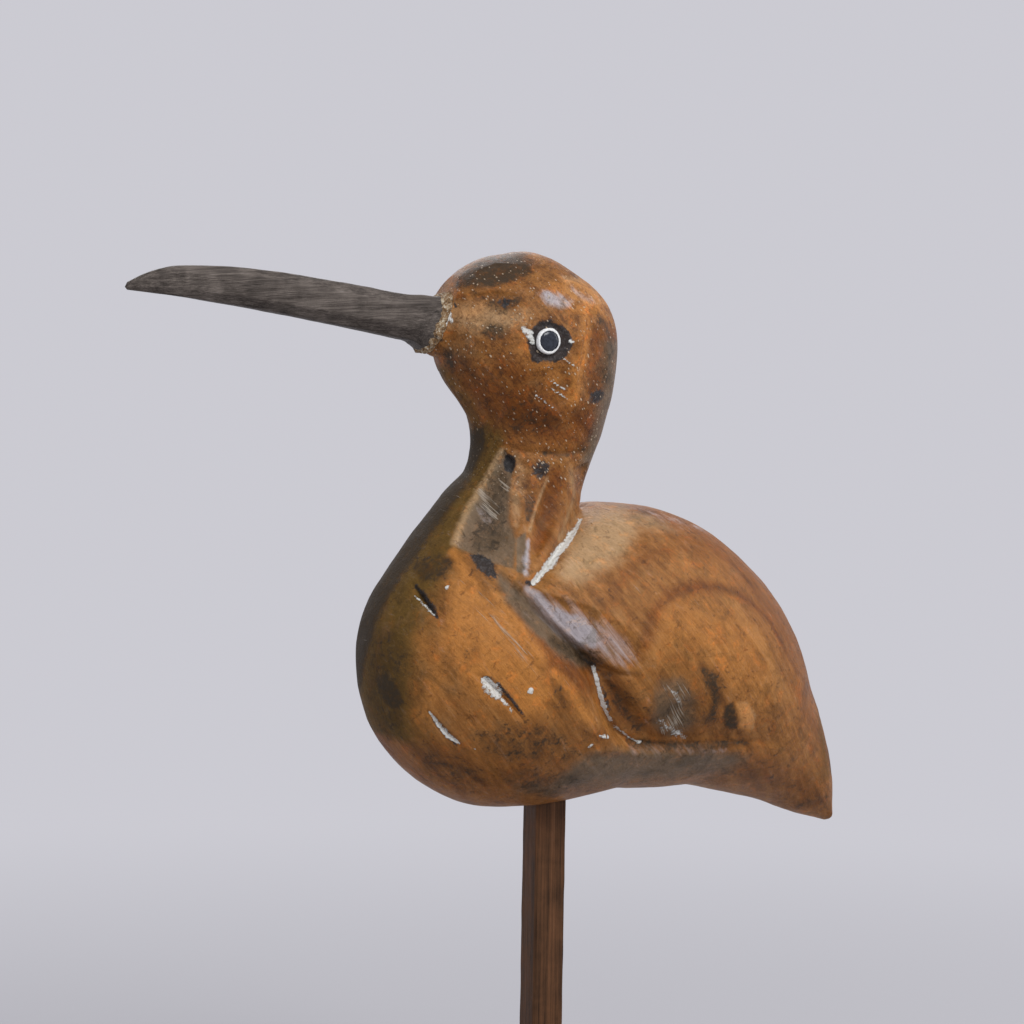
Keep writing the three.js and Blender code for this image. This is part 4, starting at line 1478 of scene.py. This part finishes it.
def worn_bar(name, node, edge, material, cells):
    """A box with worn, rounded edges and a slightly uneven surface, inside its CAD node's box."""
    low, high = (np.array(corner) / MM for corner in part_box(node))
    half = (high - low) / 2
    bm = bmesh.new()
    bmesh.ops.create_cube(bm, size=2)
    for axis in range(3):
        step = 2 / cells[axis]
        for i in range(1, cells[axis]):
            way = np.eye(3)[axis]
            cut(bm, Vector((-1 + i * step) * way), Vector(way))
    points, faces = unpacked(bm)
    points = points * half
    inner = np.clip(points, edge - half, half - edge)
    out = unit(points - inner)
    points = inner + edge * out
    worn = 0.10 * lumps(points, 0.13, 9) + 0.06 * lumps(points * [1, 1, 0.3], 0.6, 13) - 0.16
    points = points + worn[:, None] * out + (low + high) / 2 - LIFT
    new_piece(name, points, faces, material, "stand_wood", node)


# Floor, world and lights

SKY = (0.60, 0.595, 0.645)
AIM = (0, 0, 0.21)  # metres, the middle of the bird


def floor():
    """A pale floor that fades into the world's colour away from the object."""
    s = Shader("floor")
    near = s.add("ShaderNodeBsdfDiffuse", 0, {"Color": (0.45, 0.447, 0.465, 1)})
    far = s.add("ShaderNodeEmission", 0, {"Color": (*SKY, 1)})
    length = s.length(s.place)
    s.add_output(s.add("ShaderNodeMixShader", 0, {0: s.step(length, 0.2, 0.9), 1: near, 2: far}))
    mesh = bpy.data.meshes.new("floor")
    bm = bmesh.new()
    bmesh.ops.create_circle(bm, cap_ends=True, segments=96, radius=8)
    bm.to_mesh(mesh)
    bm.free()
    mesh.materials.append(s.material)
    linked("floor", mesh)


def world():
    """An even pale sky all round."""
    background = bpy.data.worlds.new("studio")
    background.use_nodes = True
    background.node_tree.nodes["Background"].inputs["Color"].default_value = (*SKY, 1)
    bpy.context.scene.world = background


def softbox(name, place, size, power, color=(1, 1, 1)):
    """A square area light that faces the bird."""
    light = bpy.data.lights.new(name, "AREA")
    light.size = size
    light.energy = power
    light.color = color
    lamp = linked(name, light)
    lamp.location = place
    aim = Vector(AIM) - Vector(place)
    lamp.rotation_mode = "QUATERNION"
    lamp.rotation_quaternion = aim.to_track_quat("-Z", "Y")


bpy.context.scene.view_settings.view_transform = "Standard"
add_camera()
world()
floor()
softbox("key", (0.06, -0.75, 0.95), 0.45, 7.0)
softbox("side", (0.80, -0.20, 0.55), 0.4, 1.5)
softbox("back", (0.2, 0.8, 0.8), 0.5, 2.5)

carving()
joint_filler(bill())
eye("painted_eye_left", "eye_left", LEFT)
eye("painted_eye_right", "eye_right", RIGHT)
worn_bar("worn_stick", "stick", 0.7, stand_wood("stick_wood"), (14, 14, 110))
worn_bar("worn_block", "block", 3.0, stand_wood("block_wood", (0, np.radians(90), 0)), (64, 52, 20))
